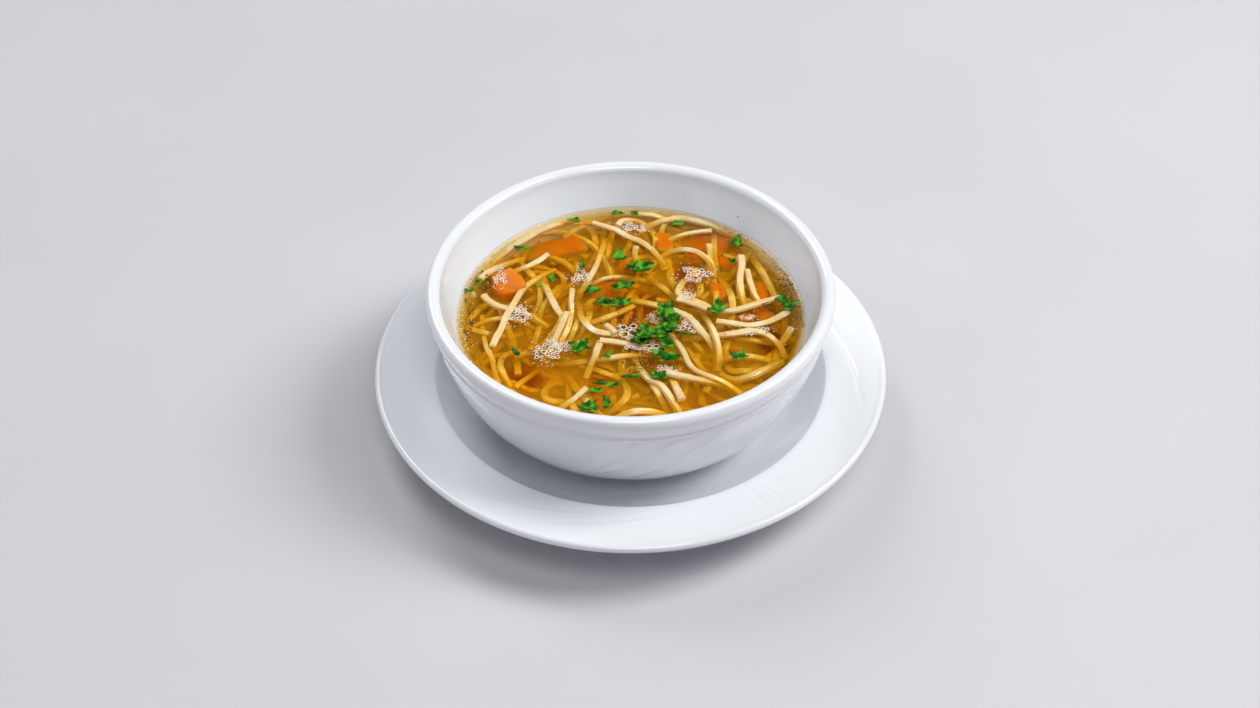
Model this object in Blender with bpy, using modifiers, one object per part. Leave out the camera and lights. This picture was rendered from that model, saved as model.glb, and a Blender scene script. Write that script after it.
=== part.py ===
"""A bowl of chicken noodle soup standing on its saucer, at real size.

Sizes below are in millimetres and are scaled to metres where a mesh is made. +Z is up.
The origin is the centre of the saucer's foot, on the surface that the saucer stands on.
"""

import math

import bmesh
import bpy
from mathutils import Matrix, Vector

MM = 0.001
GAP = 0.3
STEPS = 60

# Bowl
RIM_Z = 57.5
RIM_R = 70.5
LIP_OUTER = 1.9
LIP_INNER = 3.1
LIP_TOP = 2.5
LIP_DROP = 7.9
LIP_FOOT_R = 69.0
BODY_TOP_Z = 47.0
BODY_TOP_R = 68.5
BODY_FOOT_Z = 10.0
BODY_ROWS = 11
BODY_SHOULDER = 2.6
BODY_FALL = 1.4
MOUTH_R = 66.15
FLOOR_Z = 13.3
WALL_POWER = 5.0
WALL_ROWS = (28.0, 39.0, 47.0, 53.5, 58.8, 63.2)
BOWL_FOOT_R = 38.0
BOWL_FOOT_WIDTH = 4.6
BOWL_FOOT_RECESS = 2.1

# Swirl relief, low ridges in three groups round the body
RELIEF_GROUPS = 3
RELIEF_RIDGES = 4
RELIEF_DEPTH = 0.35
RELIEF_LEAN = 1.1
RELIEF_START = -92.0
RELIEF_TOP_Z = 46.5
RELIEF_FOOT_Z = 23.0

# Saucer
SAUCER_R = 90.9
SAUCER_FLOOR_Z = 7.0
SAUCER_FLOOR_R = 52.0
SHOULDER_R = 70.0
SHOULDER_Z = 18.7
SHOULDER_SWEEP = 1.5
SAUCER_RIM_Z = 20.9
SAUCER_LIP_R = 1.4
SAUCER_WALL = 4.4
SAUCER_FOOT_R = 52.4
SAUCER_FOOT_WIDTH = 6.4

# Soup
LEVEL_Z = 42.2
HEAP_R = 49.0
HEAP_FLOOR_Z = 21.0
HEAP_SHOULDER = 2.4
HEAP_BUMP = 0.35
HEAP_COLUMNS = 32
HEAP_RINGS = 8
NOODLE_R = 1.3
NOODLE_POINTS = 7
NOODLE_RISE = 0.4
NOODLE_DIVE = 1.9
EDGE_MARGIN = 3.0

# Noodles that lie on the heap: start x, start y, heading, length, turn along the way in degrees
STRANDS = (
    (10.0, 3.5, -22, 46, -62),
    (17.0, 9.0, -28, 42, -55),
    (16.5, -15.0, -82, 34, 62),
    (12.0, -31.0, -6, 30, -32),
    (29.0, 1.5, 4, 22, 26),
    (28.5, -3.5, 2, 24, 30),
    (28.5, 34.0, -92, 36, 18),
    (37.0, 26.0, -97, 20, 0),
    (-39.0, 28.0, -58, 38, -34),
    (-38.0, 14.5, -108, 33, 0),
    (-32.0, 24.0, -78, 32, 12),
    (-21.0, 13.0, -88, 38, -30),
    (-13.0, 28.0, -102, 34, -14),
    (-14.0, -6.5, -40, 22, 36),
    (-15.0, -25.0, 12, 34, -14),
    (-20.0, -17.5, 224, 31, 12),
    (-4.0, 46.0, -14, 36, -70),
    (-16.0, 46.0, -22, 34, -28),
    (1.5, 37.0, -94, 16, 14),
    (-11.0, -13.0, 5, 24, -24),
    (12.0, 29.5, 32, 20, -66),
    (5.0, 21.0, -48, 22, 10),
    (-41.0, -16.0, -94, 18, 60),
    (5.0, -33.0, -56, 18, -12),
    (-22.0, -29.0, -60, 18, 10),
)

CARROT_SIZE = (11.5, 13.0, 8.0)
CARROT_CENTRE = (-44.0, 19.5, 39.4)
CARROT_TURN = 24.0
CARROT_TILT = 9.0
CARROT_ROUND = 1.6


def clear_scene():
    for obj in list(bpy.data.objects):
        bpy.data.objects.remove(obj, do_unlink=True)


def new_collection(name):
    collection = bpy.data.collections.new(name)
    bpy.context.scene.collection.children.link(collection)
    return collection


def new_material(name, colour, roughness):
    material = bpy.data.materials.new(name)
    material.use_nodes = True
    shader = material.node_tree.nodes["Principled BSDF"]
    shader.inputs["Base Color"].default_value = (*colour, 1.0)
    shader.inputs["Roughness"].default_value = roughness
    shader.inputs["Metallic"].default_value = 0.0
    return material


def new_object(name, mesh, collection, material=None):
    obj = bpy.data.objects.new(name, mesh)
    collection.objects.link(obj)
    if material:
        mesh.materials.append(material)
    return obj


def as_cutter(obj):
    obj.hide_render = True
    obj.display_type = "WIRE"
    return obj


def smooth(obj):
    obj.data.shade_smooth()
    obj.data.set_sharp_from_angle(angle=math.radians(50))


def screwed(obj):
    modifier = obj.modifiers.new("turn", "SCREW")
    modifier.axis = "Z"
    modifier.steps = STEPS
    modifier.render_steps = STEPS
    modifier.use_merge_vertices = True
    modifier.merge_threshold = 0.0001
    return obj


def turned(name, profile, collection, material):
    """A body of revolution from (radius, height) points that run down its outer side."""
    mesh = bpy.data.meshes.new(name)
    points = [(radius * MM, 0.0, height * MM) for radius, height in profile]
    mesh.from_pydata(points, [(i, i + 1) for i in range(len(points) - 1)], [])
    return screwed(new_object(name, mesh, collection, material))


def fixed_mesh(obj):
    """The object with its modifiers applied."""
    graph = bpy.context.evaluated_depsgraph_get()
    mesh = bpy.data.meshes.new_from_object(obj.evaluated_get(graph))
    obj.modifiers.clear()
    obj.data = mesh
    return obj


def cut(obj, cutter, operation="DIFFERENCE"):
    modifier = obj.modifiers.new(cutter.name, "BOOLEAN")
    modifier.operation = operation
    modifier.solver = "MANIFOLD"
    modifier.object = cutter


def smooth_step(share):
    share = min(max(share, 0.0), 1.0)
    return share * share * (3 - 2 * share)


def arc(centre, width, height, start, end, count):
    """Points of an ellipse's arc, with angles in degrees."""
    for i in range(count + 1):
        angle = math.radians(start + (end - start) * i / count)
        yield centre[0] + width * math.cos(angle), centre[1] + height * math.sin(angle)


# Bowl


def inner_height(radius):
    """Height of the bowl's inner wall: a flat floor that sweeps up to a steep side."""
    return FLOOR_Z + (RIM_Z - FLOOR_Z) * (radius / MOUTH_R) ** WALL_POWER


def inner_radius(height):
    return MOUTH_R * ((height - FLOOR_Z) / (RIM_Z - FLOOR_Z)) ** (1 / WALL_POWER)


def bowl_profile():
    points = [(0.0, FLOOR_Z)]
    points += [(radius, inner_height(radius)) for radius in WALL_ROWS]
    lip_z = RIM_Z - LIP_TOP
    crest = (RIM_R - LIP_OUTER, lip_z)
    points += arc(crest, LIP_INNER, LIP_TOP, 180, 120, 2)
    points += arc(crest, LIP_OUTER, LIP_TOP, 90, 0, 3)
    bulge = RIM_Z - LIP_DROP
    for share in (0.5, 1.0):
        points.append((RIM_R - (RIM_R - LIP_FOOT_R) * share**2, lip_z + (bulge - lip_z) * share))
    # A fine bead and a groove part the lip from the body.
    points += [
        (LIP_FOOT_R - 0.4, bulge - 0.4),
        (LIP_FOOT_R, bulge - 1.2),
        (LIP_FOOT_R - 0.6, bulge - 2.2),
    ]
    for i in range(BODY_ROWS + 1):
        angle = math.pi / 2 * i / BODY_ROWS
        fall = math.sin(angle) ** (2 / BODY_FALL)
        reach = max(math.cos(angle), 0.0) ** (2 / BODY_SHOULDER)
        radius = BOWL_FOOT_R + (BODY_TOP_R - BOWL_FOOT_R) * reach
        points.append((radius, BODY_TOP_Z - (BODY_TOP_Z - BODY_FOOT_Z) * fall))
    foot_z = SAUCER_FLOOR_Z + GAP
    foot_in = BOWL_FOOT_R - BOWL_FOOT_WIDTH
    points += [
        (BOWL_FOOT_R - 0.1, foot_z + 0.8),
        (BOWL_FOOT_R - 0.8, foot_z),
        (foot_in + 0.6, foot_z),
        (foot_in, foot_z + 0.6),
        (foot_in - 0.6, foot_z + BOWL_FOOT_RECESS),
        (0.0, foot_z + BOWL_FOOT_RECESS),
    ]
    return points


def carve_swirl(obj):
    """Leans the columns of the outer wall and raises every second one, as low swirling ridges."""
    column = 360 / STEPS
    in_group = STEPS // RELIEF_GROUPS
    for vertex in obj.data.vertices:
        x, y, z = (value / MM for value in vertex.co)
        radius = math.hypot(x, y)
        body = RELIEF_FOOT_Z < z < RELIEF_TOP_Z
        if not body or radius < inner_radius(z) + 1:
            continue
        angle = math.degrees(math.atan2(y, x))
        index = round(angle / column)
        share = (z - RELIEF_FOOT_Z) / (RELIEF_TOP_Z - RELIEF_FOOT_Z)
        fade = smooth_step(share / 0.35) * smooth_step((1 - share) / 0.2)
        place = (index - round(RELIEF_START / column)) % in_group
        raised = 0.0
        if place < 2 * RELIEF_RIDGES:
            raised = RELIEF_DEPTH * (1 if place % 2 else -1)
        radius += raised * fade
        lean = math.radians(index * column - RELIEF_LEAN * (RELIEF_TOP_Z - z) * smooth_step(share / 0.35))
        vertex.co = Vector((radius * math.cos(lean), radius * math.sin(lean), z)) * MM


def make_bowl(collection, material):
    bowl = fixed_mesh(turned("bowl", bowl_profile(), collection, material))
    carve_swirl(bowl)
    smooth(bowl)
    return bowl


# Saucer


def saucer_profile():
    rise = SHOULDER_Z - SAUCER_FLOOR_Z
    run = SHOULDER_R - SAUCER_FLOOR_R
    points = [(0.0, SAUCER_FLOOR_Z)]
    for i in range(5):
        share = i / 4
        points.append((SAUCER_FLOOR_R + run * share, SAUCER_FLOOR_Z + rise * share**SHOULDER_SWEEP))
    lip_in = SAUCER_R - 2 * SAUCER_LIP_R
    points.append((lip_in, SAUCER_RIM_Z))
    lip_z = SAUCER_RIM_Z - 1.0
    points += arc((SAUCER_R - SAUCER_LIP_R, lip_z), SAUCER_LIP_R, SAUCER_LIP_R, 90, -90, 4)
    foot_in = SAUCER_FOOT_R - SAUCER_FOOT_WIDTH
    points += [
        (SHOULDER_R + 0.5, SHOULDER_Z - SAUCER_WALL),
        (SAUCER_FLOOR_R + 9.0, SAUCER_FLOOR_Z + 0.4),
        (SAUCER_FLOOR_R + 2.0, SAUCER_FLOOR_Z - SAUCER_WALL + 0.4),
        (SAUCER_FOOT_R + 0.6, 0.6),
        (SAUCER_FOOT_R, 0.0),
        (foot_in, 0.0),
        (foot_in - 0.8, SAUCER_FLOOR_Z - SAUCER_WALL),
        (0.0, SAUCER_FLOOR_Z - SAUCER_WALL),
    ]
    return points


def make_saucer(collection, material):
    saucer = turned("saucer", saucer_profile(), collection, material)
    smooth(saucer)
    return saucer


# Soup


def broth_profile():
    """The broth fills the bowl's inside up to its level."""
    points = [(0.0, LEVEL_Z)]
    below = [radius for radius in WALL_ROWS if inner_height(radius) < LEVEL_Z - 1]
    for radius in [inner_radius(LEVEL_Z)] + below[::-1]:
        slope = WALL_POWER * (inner_height(radius) - FLOOR_Z) / radius
        length = math.hypot(slope, 1)
        points.append((radius - GAP * slope / length, inner_height(radius) + GAP / length))
    points[1] = (points[1][0], LEVEL_Z)
    points.append((0.0, FLOOR_Z + GAP))
    return points


def heap_radius(angle):
    """Uneven outline of the noodle heap, nearer the wall on the left than on the right."""
    lobes = 3.4 * math.cos(angle - 3.0) + 2.2 * math.cos(3 * angle + 0.6)
    return HEAP_R + lobes + 1.5 * math.cos(5 * angle - 1.1) + 0.9 * math.cos(9 * angle)


def heap_top(x, y):
    return LEVEL_Z + HEAP_BUMP * (math.sin(0.21 * x + 0.8) + math.sin(0.17 * y - 0.11 * x))


def heap_mesh(name, swell, lid):
    """A lobed mound from a sphere: bumpy on top, upright at its shoulder, round below."""
    shape = bmesh.new()
    bmesh.ops.create_uvsphere(shape, u_segments=HEAP_COLUMNS, v_segments=HEAP_RINGS, radius=1.0)
    for vertex in shape.verts:
        angle = math.atan2(vertex.co.y, vertex.co.x)
        across = math.hypot(vertex.co.x, vertex.co.y)
        reach = heap_radius(angle) + swell
        height = vertex.co.z
        if height > 0.01:
            radius = reach * min(across / math.cos(math.pi / HEAP_RINGS), 1.0)
            radius -= 0.0 if lid else 0.8 * (across > 0.9)
            x, y = radius * math.cos(angle), radius * math.sin(angle)
            z = LEVEL_Z + lid if lid else heap_top(x, y)
        else:
            radius = reach * across**0.7
            x, y = radius * math.cos(angle), radius * math.sin(angle)
            shoulder = LEVEL_Z - HEAP_SHOULDER
            z = shoulder - swell - (shoulder - HEAP_FLOOR_Z) * abs(height) ** 1.6
        vertex.co = Vector((x, y, z)) * MM
    mesh = bpy.data.meshes.new(name)
    shape.to_mesh(mesh)
    shape.free()
    return mesh


def in_heap(x, y):
    return math.hypot(x, y) < heap_radius(math.atan2(y, x)) - EDGE_MARGIN


def strand_walk(x, y, heading, length, turn):
    """An even arc in plan, one millimetre a step."""
    for i in range(length + 1):
        yield x, y
        direction = math.radians(heading + turn * i / length)
        x += math.cos(direction)
        y += math.sin(direction)


def strand_route(*strand):
    """The arc's stretch that lies on the heap, with both ends diving into it."""
    walk = [place for place in strand_walk(*strand) if in_heap(*place)]
    for i in range(NOODLE_POINTS):
        share = i / (NOODLE_POINTS - 1)
        x, y = walk[round(share * (len(walk) - 1))]
        dive = smooth_step((share - 0.8) / 0.2) + smooth_step((0.2 - share) / 0.2)
        yield x, y, heap_top(x, y) + NOODLE_RISE - NOODLE_DIVE * dive


def make_strand(index, route, collection):
    curve = bpy.data.curves.new(f"strand_{index}", "CURVE")
    curve.dimensions = "3D"
    curve.bevel_depth = NOODLE_R * MM
    curve.bevel_resolution = 0
    curve.use_fill_caps = True
    spline = curve.splines.new("POLY")
    spline.points.add(len(route) - 1)
    for point, place in zip(spline.points, route):
        point.co = (*(value * MM for value in place), 1.0)
    guide = bpy.data.objects.new(curve.name, curve)
    collection.objects.link(guide)
    graph = bpy.context.evaluated_depsgraph_get()
    mesh = bpy.data.meshes.new_from_object(guide.evaluated_get(graph))
    bpy.data.objects.remove(guide)
    shape = bmesh.new()
    shape.from_mesh(mesh)
    bmesh.ops.remove_doubles(shape, verts=shape.verts, dist=0.00001)
    bmesh.ops.recalc_face_normals(shape, faces=shape.faces)
    shape.to_mesh(mesh)
    shape.free()
    return as_cutter(new_object(curve.name, mesh, collection))


def carrot_mesh(name, swell):
    """A cut chunk of carrot: a tapered block with rounded edges."""
    shape = bmesh.new()
    bmesh.ops.create_cube(shape, size=1.0)
    for vertex in shape.verts:
        taper = 1.0 - 0.18 * (vertex.co.y > 0) - 0.08 * (vertex.co.z < 0)
        size = Vector(CARROT_SIZE) + Vector((2 * swell,) * 3)
        vertex.co = Vector((vertex.co.x * size.x * taper, vertex.co.y * size.y, vertex.co.z * size.z)) * MM
    bmesh.ops.bevel(
        shape,
        geom=shape.verts[:] + shape.edges[:],
        offset=CARROT_ROUND * MM,
        segments=2,
        profile=0.5,
        affect="EDGES",
    )
    mesh = bpy.data.meshes.new(name)
    shape.to_mesh(mesh)
    shape.free()
    return mesh


def place_carrot(obj):
    obj.location = Vector(CARROT_CENTRE) * MM
    obj.rotation_euler = (math.radians(CARROT_TILT), math.radians(-CARROT_TILT), math.radians(CARROT_TURN))
    return obj


def make_soup(collection, cutters, materials):
    broth = turned("broth", broth_profile(), collection, materials["broth"])
    noodles = new_object("noodles", heap_mesh("noodles", 0.0, 0.0), collection, materials["noodles"])
    carrot = place_carrot(new_object("carrot", carrot_mesh("carrot", 0.0), collection, materials["carrot"]))
    pocket = as_cutter(new_object("pocket", heap_mesh("pocket", GAP, 8.0), cutters))
    socket = place_carrot(as_cutter(new_object("socket", carrot_mesh("socket", GAP), cutters)))
    strands = [make_strand(i, list(strand_route(*row)), cutters) for i, row in enumerate(STRANDS)]
    for strand in strands:
        cut(noodles, strand, "UNION")
    cut(noodles, socket)
    cut(broth, pocket)
    cut(broth, socket)
    for obj in (broth, noodles, carrot):
        smooth(obj)


def main():
    clear_scene()
    parts = new_collection("chicken_noodle_soup")
    cutters = new_collection("cutters")
    porcelain = new_material("porcelain", (0.86, 0.87, 0.89), 0.12)
    materials = {
        "broth": new_material("broth", (0.62, 0.33, 0.05), 0.08),
        "noodles": new_material("noodles", (0.90, 0.72, 0.42), 0.4),
        "carrot": new_material("carrot", (0.88, 0.30, 0.04), 0.35),
    }
    make_saucer(parts, porcelain)
    make_bowl(parts, porcelain)
    make_soup(parts, cutters, materials)


main()
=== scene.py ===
"""Looks of a bowl of chicken noodle soup on its saucer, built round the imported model."""

import math
import random

import bmesh
import bpy
import numpy as np
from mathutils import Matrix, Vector
from mathutils.kdtree import KDTree


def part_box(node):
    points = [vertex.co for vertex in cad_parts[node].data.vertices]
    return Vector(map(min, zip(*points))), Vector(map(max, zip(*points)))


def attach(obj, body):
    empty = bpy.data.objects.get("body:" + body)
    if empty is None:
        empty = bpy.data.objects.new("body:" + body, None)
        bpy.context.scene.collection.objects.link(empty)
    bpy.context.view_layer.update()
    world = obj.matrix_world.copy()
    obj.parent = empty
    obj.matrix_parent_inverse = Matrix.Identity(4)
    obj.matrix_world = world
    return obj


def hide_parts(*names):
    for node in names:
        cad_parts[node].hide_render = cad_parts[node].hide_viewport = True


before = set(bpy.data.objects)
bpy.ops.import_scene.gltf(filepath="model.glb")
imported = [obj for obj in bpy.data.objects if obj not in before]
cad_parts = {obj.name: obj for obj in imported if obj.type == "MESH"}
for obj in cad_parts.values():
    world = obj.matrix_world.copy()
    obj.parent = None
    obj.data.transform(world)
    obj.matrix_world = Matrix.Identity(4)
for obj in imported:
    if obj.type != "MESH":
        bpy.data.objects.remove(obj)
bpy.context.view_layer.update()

MM = 0.001

# Sizes read from the frame, in millimetres
RIM_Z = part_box("bowl")[1].z / MM
RIM_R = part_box("bowl")[1].x / MM
BOWL_FOOT_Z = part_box("bowl")[0].z / MM
SAUCER_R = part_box("saucer")[1].x / MM
LEVEL_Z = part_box("broth")[1].z / MM

# Bowl
LIP_OUTER = 1.9
LIP_INNER = 3.1
LIP_TOP = 2.5
LIP_DROP = 7.9
LIP_FOOT_R = 69.0
BODY_TOP_Z = RIM_Z - 10.5
BODY_TOP_R = 68.5
BODY_FOOT_Z = 10.0
BODY_SHOULDER = 2.6
BODY_FALL = 1.4
MOUTH_R = 66.15
FLOOR_Z = 13.3
WALL_POWER = 5.0
BEAD_INSETS = (0.14, 0.22, 0.16, 0.05, 0.02, 0.08, 0.26, 0.42, 0.5)
BEAD_STEP = 0.3
BOWL_FOOT_R = 38.0
BOWL_COLUMNS = 540

# Saucer
SAUCER_FLOOR_Z = 7.0
SAUCER_FLOOR_R = 52.0
SHOULDER_R = 70.0
SHOULDER_Z = 18.7
SHOULDER_SWEEP = 1.5
SAUCER_RIM_Z = 20.9
SAUCER_LIP_R = 1.4
SAUCER_WALL = 4.4
SAUCER_FOOT_R = 52.4
SAUCER_FOOT_IN = 46.0
SAUCER_COLUMNS = 760

# Depth under the level at which the noodles' painted golden tint of broth light is full
PAINTED_TINT_DEPTH = 10.0

rng = random.Random(41)


# Materials


class Shading:
    """A material's nodes, made with short calls."""

    def __init__(self, name):
        self.material = bpy.data.materials.new(name)
        self.material.use_nodes = True
        self.tree = self.material.node_tree
        self.tree.nodes.clear()
        self.output = self.tree.nodes.new("ShaderNodeOutputMaterial")

    def node(self, kind, settings=None, **inputs):
        node = self.tree.nodes.new("ShaderNode" + kind)
        for key, value in (settings or {}).items():
            setattr(node, key, value)
        for key, value in inputs.items():
            socket = node.inputs[key.replace("_", " ")]
            if isinstance(value, bpy.types.NodeSocket):
                self.tree.links.new(value, socket)
            else:
                socket.default_value = value
        return node

    def link(self, source, target):
        self.tree.links.new(source, target)

    def where(self):
        return self.node("TexCoord").outputs["Object"]

    def noise(self, scale, detail):
        return self.node("TexNoise", Vector=self.where(), Scale=scale, Detail=detail).outputs["Fac"]

    def span(self, value, low, high, **source):
        return self.node("MapRange", Value=value, To_Min=low, To_Max=high, **source).outputs["Result"]

    def bump(self, height, strength, distance):
        return self.node("Bump", Height=height, Strength=strength, Distance=distance).outputs["Normal"]

    def tones(self, value, *stops):
        """A colour ramp: each stop is its place, then its red, green and blue."""
        node = self.node("ValToRGB", Fac=value)
        elements = node.color_ramp.elements
        while len(elements) < len(stops):
            elements.new(0.5)
        for element, (place, *colour) in zip(elements, stops):
            element.position = place
            element.color = (*colour, 1)
        return node.outputs["Color"]

    def blend(self, share, first, second):
        node = self.node("Mix", {"data_type": "RGBA"}, Factor=share, A=first, B=second)
        return node.outputs["Result"]

    def heart(self):
        """The value that mesh_piece gives each point."""
        return self.node("Attribute", {"attribute_name": "heart"}).outputs["Fac"]

    def principled(self, **inputs):
        return self.node("BsdfPrincipled", **inputs).outputs["BSDF"]

    def diffuse(self, *colour):
        return self.node("BsdfDiffuse", Color=(*colour, 1)).outputs["BSDF"]

    def clear(self):
        return self.node("BsdfTransparent").outputs["BSDF"]

    def mix(self, share, first, second):
        node = self.node("MixShader", Fac=share)
        self.link(first, node.inputs[1])
        self.link(second, node.inputs[2])
        return node.outputs["Shader"]

    def surface(self, socket):
        self.link(socket, self.output.inputs["Surface"])
        return self.material


def porcelain_material():
    """White glaze: a faintly uneven tone under a smooth wavy skin."""
    s = Shading("porcelain_glaze")
    shader = s.principled(
        Base_Color=s.tones(s.noise(22.0, 3.0), (0.3, 0.845, 0.87, 0.905), (0.7, 0.865, 0.89, 0.92)),
        Roughness=s.span(s.noise(60.0, 4.0), 0.10, 0.22),
        Normal=s.bump(s.noise(240.0, 2.0), 0.03, 0.0004),
        IOR=1.5,
        Coat_Weight=0.4,
        Coat_Roughness=0.06,
    )
    return s.surface(shader)


def noodle_material():
    """Wet wheat noodle: cream with paler streaks, with a painted golden tint that grows the deeper it lies,
    standing in for the light seen through the broth.
    """
    s = Shading("noodle_dough")
    streaks = s.noise(130.0, 3.0)
    cream = s.tones(streaks, (0.3, 0.74, 0.49, 0.17), (0.5, 0.80, 0.59, 0.27), (0.7, 0.86, 0.71, 0.43))
    height = s.node("SeparateXYZ", Vector=s.where()).outputs["Z"]
    # Painted light: below the level the cream is blended towards golden yellow, the broth's tint of light
    # painted onto the dough.
    depth = s.span(height, 0.0, 1.0, From_Min=(LEVEL_Z - 0.6) * MM, From_Max=(LEVEL_Z - PAINTED_TINT_DEPTH) * MM)
    grain = s.noise(900.0, 3.0)
    shader = s.principled(
        Base_Color=s.blend(depth, cream, (0.84, 0.70, 0.26, 1)),
        Roughness=s.span(grain, 0.3, 0.5),
        Normal=s.bump(grain, 0.2, 0.0003),
        IOR=1.42,
        Subsurface_Weight=0.55,
        Subsurface_Radius=(1.0, 0.6, 0.3),
        Subsurface_Scale=0.0014,
        Coat_Weight=0.35,
        Coat_Roughness=0.15,
    )
    return s.surface(shader)


def carrot_material(name, painted_veil):
    """Cooked carrot: orange flesh in uneven clouds. For a sunk piece the flesh fades to amber away from its
    heart: a painted veil of broth tint and shade over its edges and underside.
    """
    s = Shading(name)
    clouds = s.noise(140.0, 4.0)
    tone = s.tones(clouds, (0.3, 0.66, 0.15, 0.002), (0.6, 0.74, 0.22, 0.003), (0.8, 0.80, 0.31, 0.01))
    if painted_veil:
        # Painted broth veil and shade: where the heart is low, the flesh is painted amber.
        fade = s.node("MapRange", {"interpolation_type": "SMOOTHSTEP"}, Value=s.heart(), From_Max=0.75)
        tone = s.blend(fade.outputs["Result"], (0.60, 0.38, 0.07, 1), tone)
    shader = s.principled(
        Base_Color=tone,
        Roughness=0.45,
        Normal=s.bump(s.noise(600.0, 3.0), 0.3, 0.0004),
        IOR=1.25,
        Subsurface_Weight=0.3,
        Subsurface_Radius=(1.0, 0.35, 0.1),
        Subsurface_Scale=0.002,
    )
    return s.surface(shader)


def parsley_material():
    """Wet parsley: dark green in uneven tones, with bright flecks that are painted highlights, finely
    wrinkled.
    """
    s = Shading("parsley_leaf")
    tone_and_painted_glints = s.noise(420.0, 4.0)
    # The brightest stop is a painted highlight; the darker stops are the leaf's own uneven green.
    tone = s.tones(tone_and_painted_glints, (0.36, 0.003, 0.045, 0.0005), (0.5, 0.018, 0.14, 0.001), (0.62, 0.12, 0.38, 0.012))
    grain = s.bump(s.noise(900.0, 2.0), 0.6, 0.0005)
    return s.surface(s.principled(Base_Color=tone, Roughness=0.35, Normal=grain, IOR=1.25))


def broth_material():
    """Clear amber broth: bends and mirrors light, and takes up blue, then green, with depth.

    Rays from lamps pass straight in. Rays scattered onto it from outside meet a pale neutral diffuse face:
    painted bounce light, whose grey sets how much light the broth throws back onto the bowl.
    """
    s = Shading("broth_clear")
    glass = s.principled(
        Base_Color=(1, 1, 1, 1), Roughness=0.0, IOR=1.33, Transmission_Weight=1.0, Specular_IOR_Level=0.25
    )
    path = s.node("LightPath")
    lamp = s.mix(path.outputs["Is Shadow Ray"], glass, s.clear())
    # Painted bounce light: scattered rays from outside see a flat pale grey in place of the clear broth.
    side = s.mix(s.node("NewGeometry").outputs["Backfacing"], s.diffuse(0.58, 0.58, 0.61), s.clear())
    depth = s.node("VolumeAbsorption", Color=(0.958, 0.79, 0.01, 1), Density=240.0)
    s.link(depth.outputs["Volume"], s.output.inputs["Volume"])
    return s.surface(s.mix(path.outputs["Is Diffuse Ray"], lamp, side))


def bubble_material():
    """Foam film: see-through where it faces the eye, white where it turns away."""
    s = Shading("foam_film")
    film = s.principled(Base_Color=(1.0, 0.96, 0.88, 1), Roughness=0.2, IOR=1.4)
    edge = s.node("LayerWeight", Blend=0.4).outputs["Facing"]
    return s.surface(s.mix(s.span(edge, 0.0, 0.3, From_Min=0.2, From_Max=0.9), s.clear(), film))


def foam_material():
    """The thick white parts of the foam, lit a little from within."""
    s = Shading("foam_white")
    shader = s.principled(
        Base_Color=s.tones(s.noise(400.0, 2.0), (0.35, 1.0, 0.90, 0.74), (0.6, 1.0, 0.96, 0.88)),
        Roughness=0.25,
        IOR=1.35,
        Subsurface_Weight=0.2,
        Subsurface_Radius=(1.0, 0.9, 0.7),
        Subsurface_Scale=0.0006,
    )
    return s.surface(shader)


def haze_material():
    """Fine cloudy matter in the broth: mostly see-through, amber, and thin where its heart is low."""
    s = Shading("broth_haze")
    cover = s.span(s.noise(45.0, 3.0), 0.07, 0.15, From_Min=0.3, From_Max=0.7)
    share = s.node("Math", {"operation": "MULTIPLY"}, Value=cover)
    s.link(s.heart(), share.inputs[1])
    return s.surface(s.mix(share.outputs["Value"], s.clear(), s.diffuse(0.78, 0.53, 0.05)))


def speck_material():
    s = Shading("speck_dark")
    dark = s.tones(s.noise(90.0, 2.0), (0.42, 0.07, 0.022, 0.003), (0.6, 0.012, 0.018, 0.003))
    return s.surface(s.principled(Base_Color=dark, Roughness=0.5))


def fat_material():
    s = Shading("fat_droplet")
    clear = s.principled(Base_Color=(1.0, 0.86, 0.5, 1), Roughness=0.02, IOR=1.5, Transmission_Weight=1.0)
    return s.surface(clear)


def plain_material(name, colour, roughness):
    s = Shading(name)
    low = [c * 0.97 for c in colour]
    tone = s.tones(s.noise(9.0, 5.0), (0.35, *low), (0.65, *colour))
    return s.surface(s.principled(Base_Color=tone, Roughness=roughness))


# Meshes


def mesh_piece(name, points, faces, material, slot, replaced=(), smooth_angle=None, hearts=None):
    """A piece of the object from millimetre points, riding on the row's one body.

    hearts gives each point a value that a material can read.
    """
    mesh = bpy.data.meshes.new(name)
    mesh.from_pydata((np.asarray(points, float) * MM).tolist(), [], faces)
    mesh.validate()
    if hearts is not None:
        mesh.attributes.new("heart", "FLOAT", "POINT").data.foreach_set("value", hearts)
    mesh.shade_smooth()
    if smooth_angle is not None:
        mesh.set_sharp_from_angle(angle=math.radians(smooth_angle))
    mesh.materials.append(material)
    obj = bpy.data.objects.new(name, mesh)
    bpy.context.scene.collection.objects.link(obj)
    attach(obj, "root")
    if replaced:
        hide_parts(*replaced)


def ring_quads(rings, columns, flip=False):
    """Faces between rings of points that lie one after the other."""
    for start in range(0, (rings - 1) * columns, columns):
        for k in range(columns):
            m = (k + 1) % columns
            a, b = start, start + columns
            yield (a + k, a + m, b + m, b + k) if flip else (a + k, b + k, b + m, a + m)


def ring_body(rings, columns):
    """Faces of a closed body: its rings, then the two points that close its first and its last one."""
    faces = list(ring_quads(rings, columns))
    first, last = rings * columns, rings * columns + 1
    tail = first - columns
    for k in range(columns):
        m = (k + 1) % columns
        faces += [(first, k, m), (last, tail + m, tail + k)]
    return faces


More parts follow.
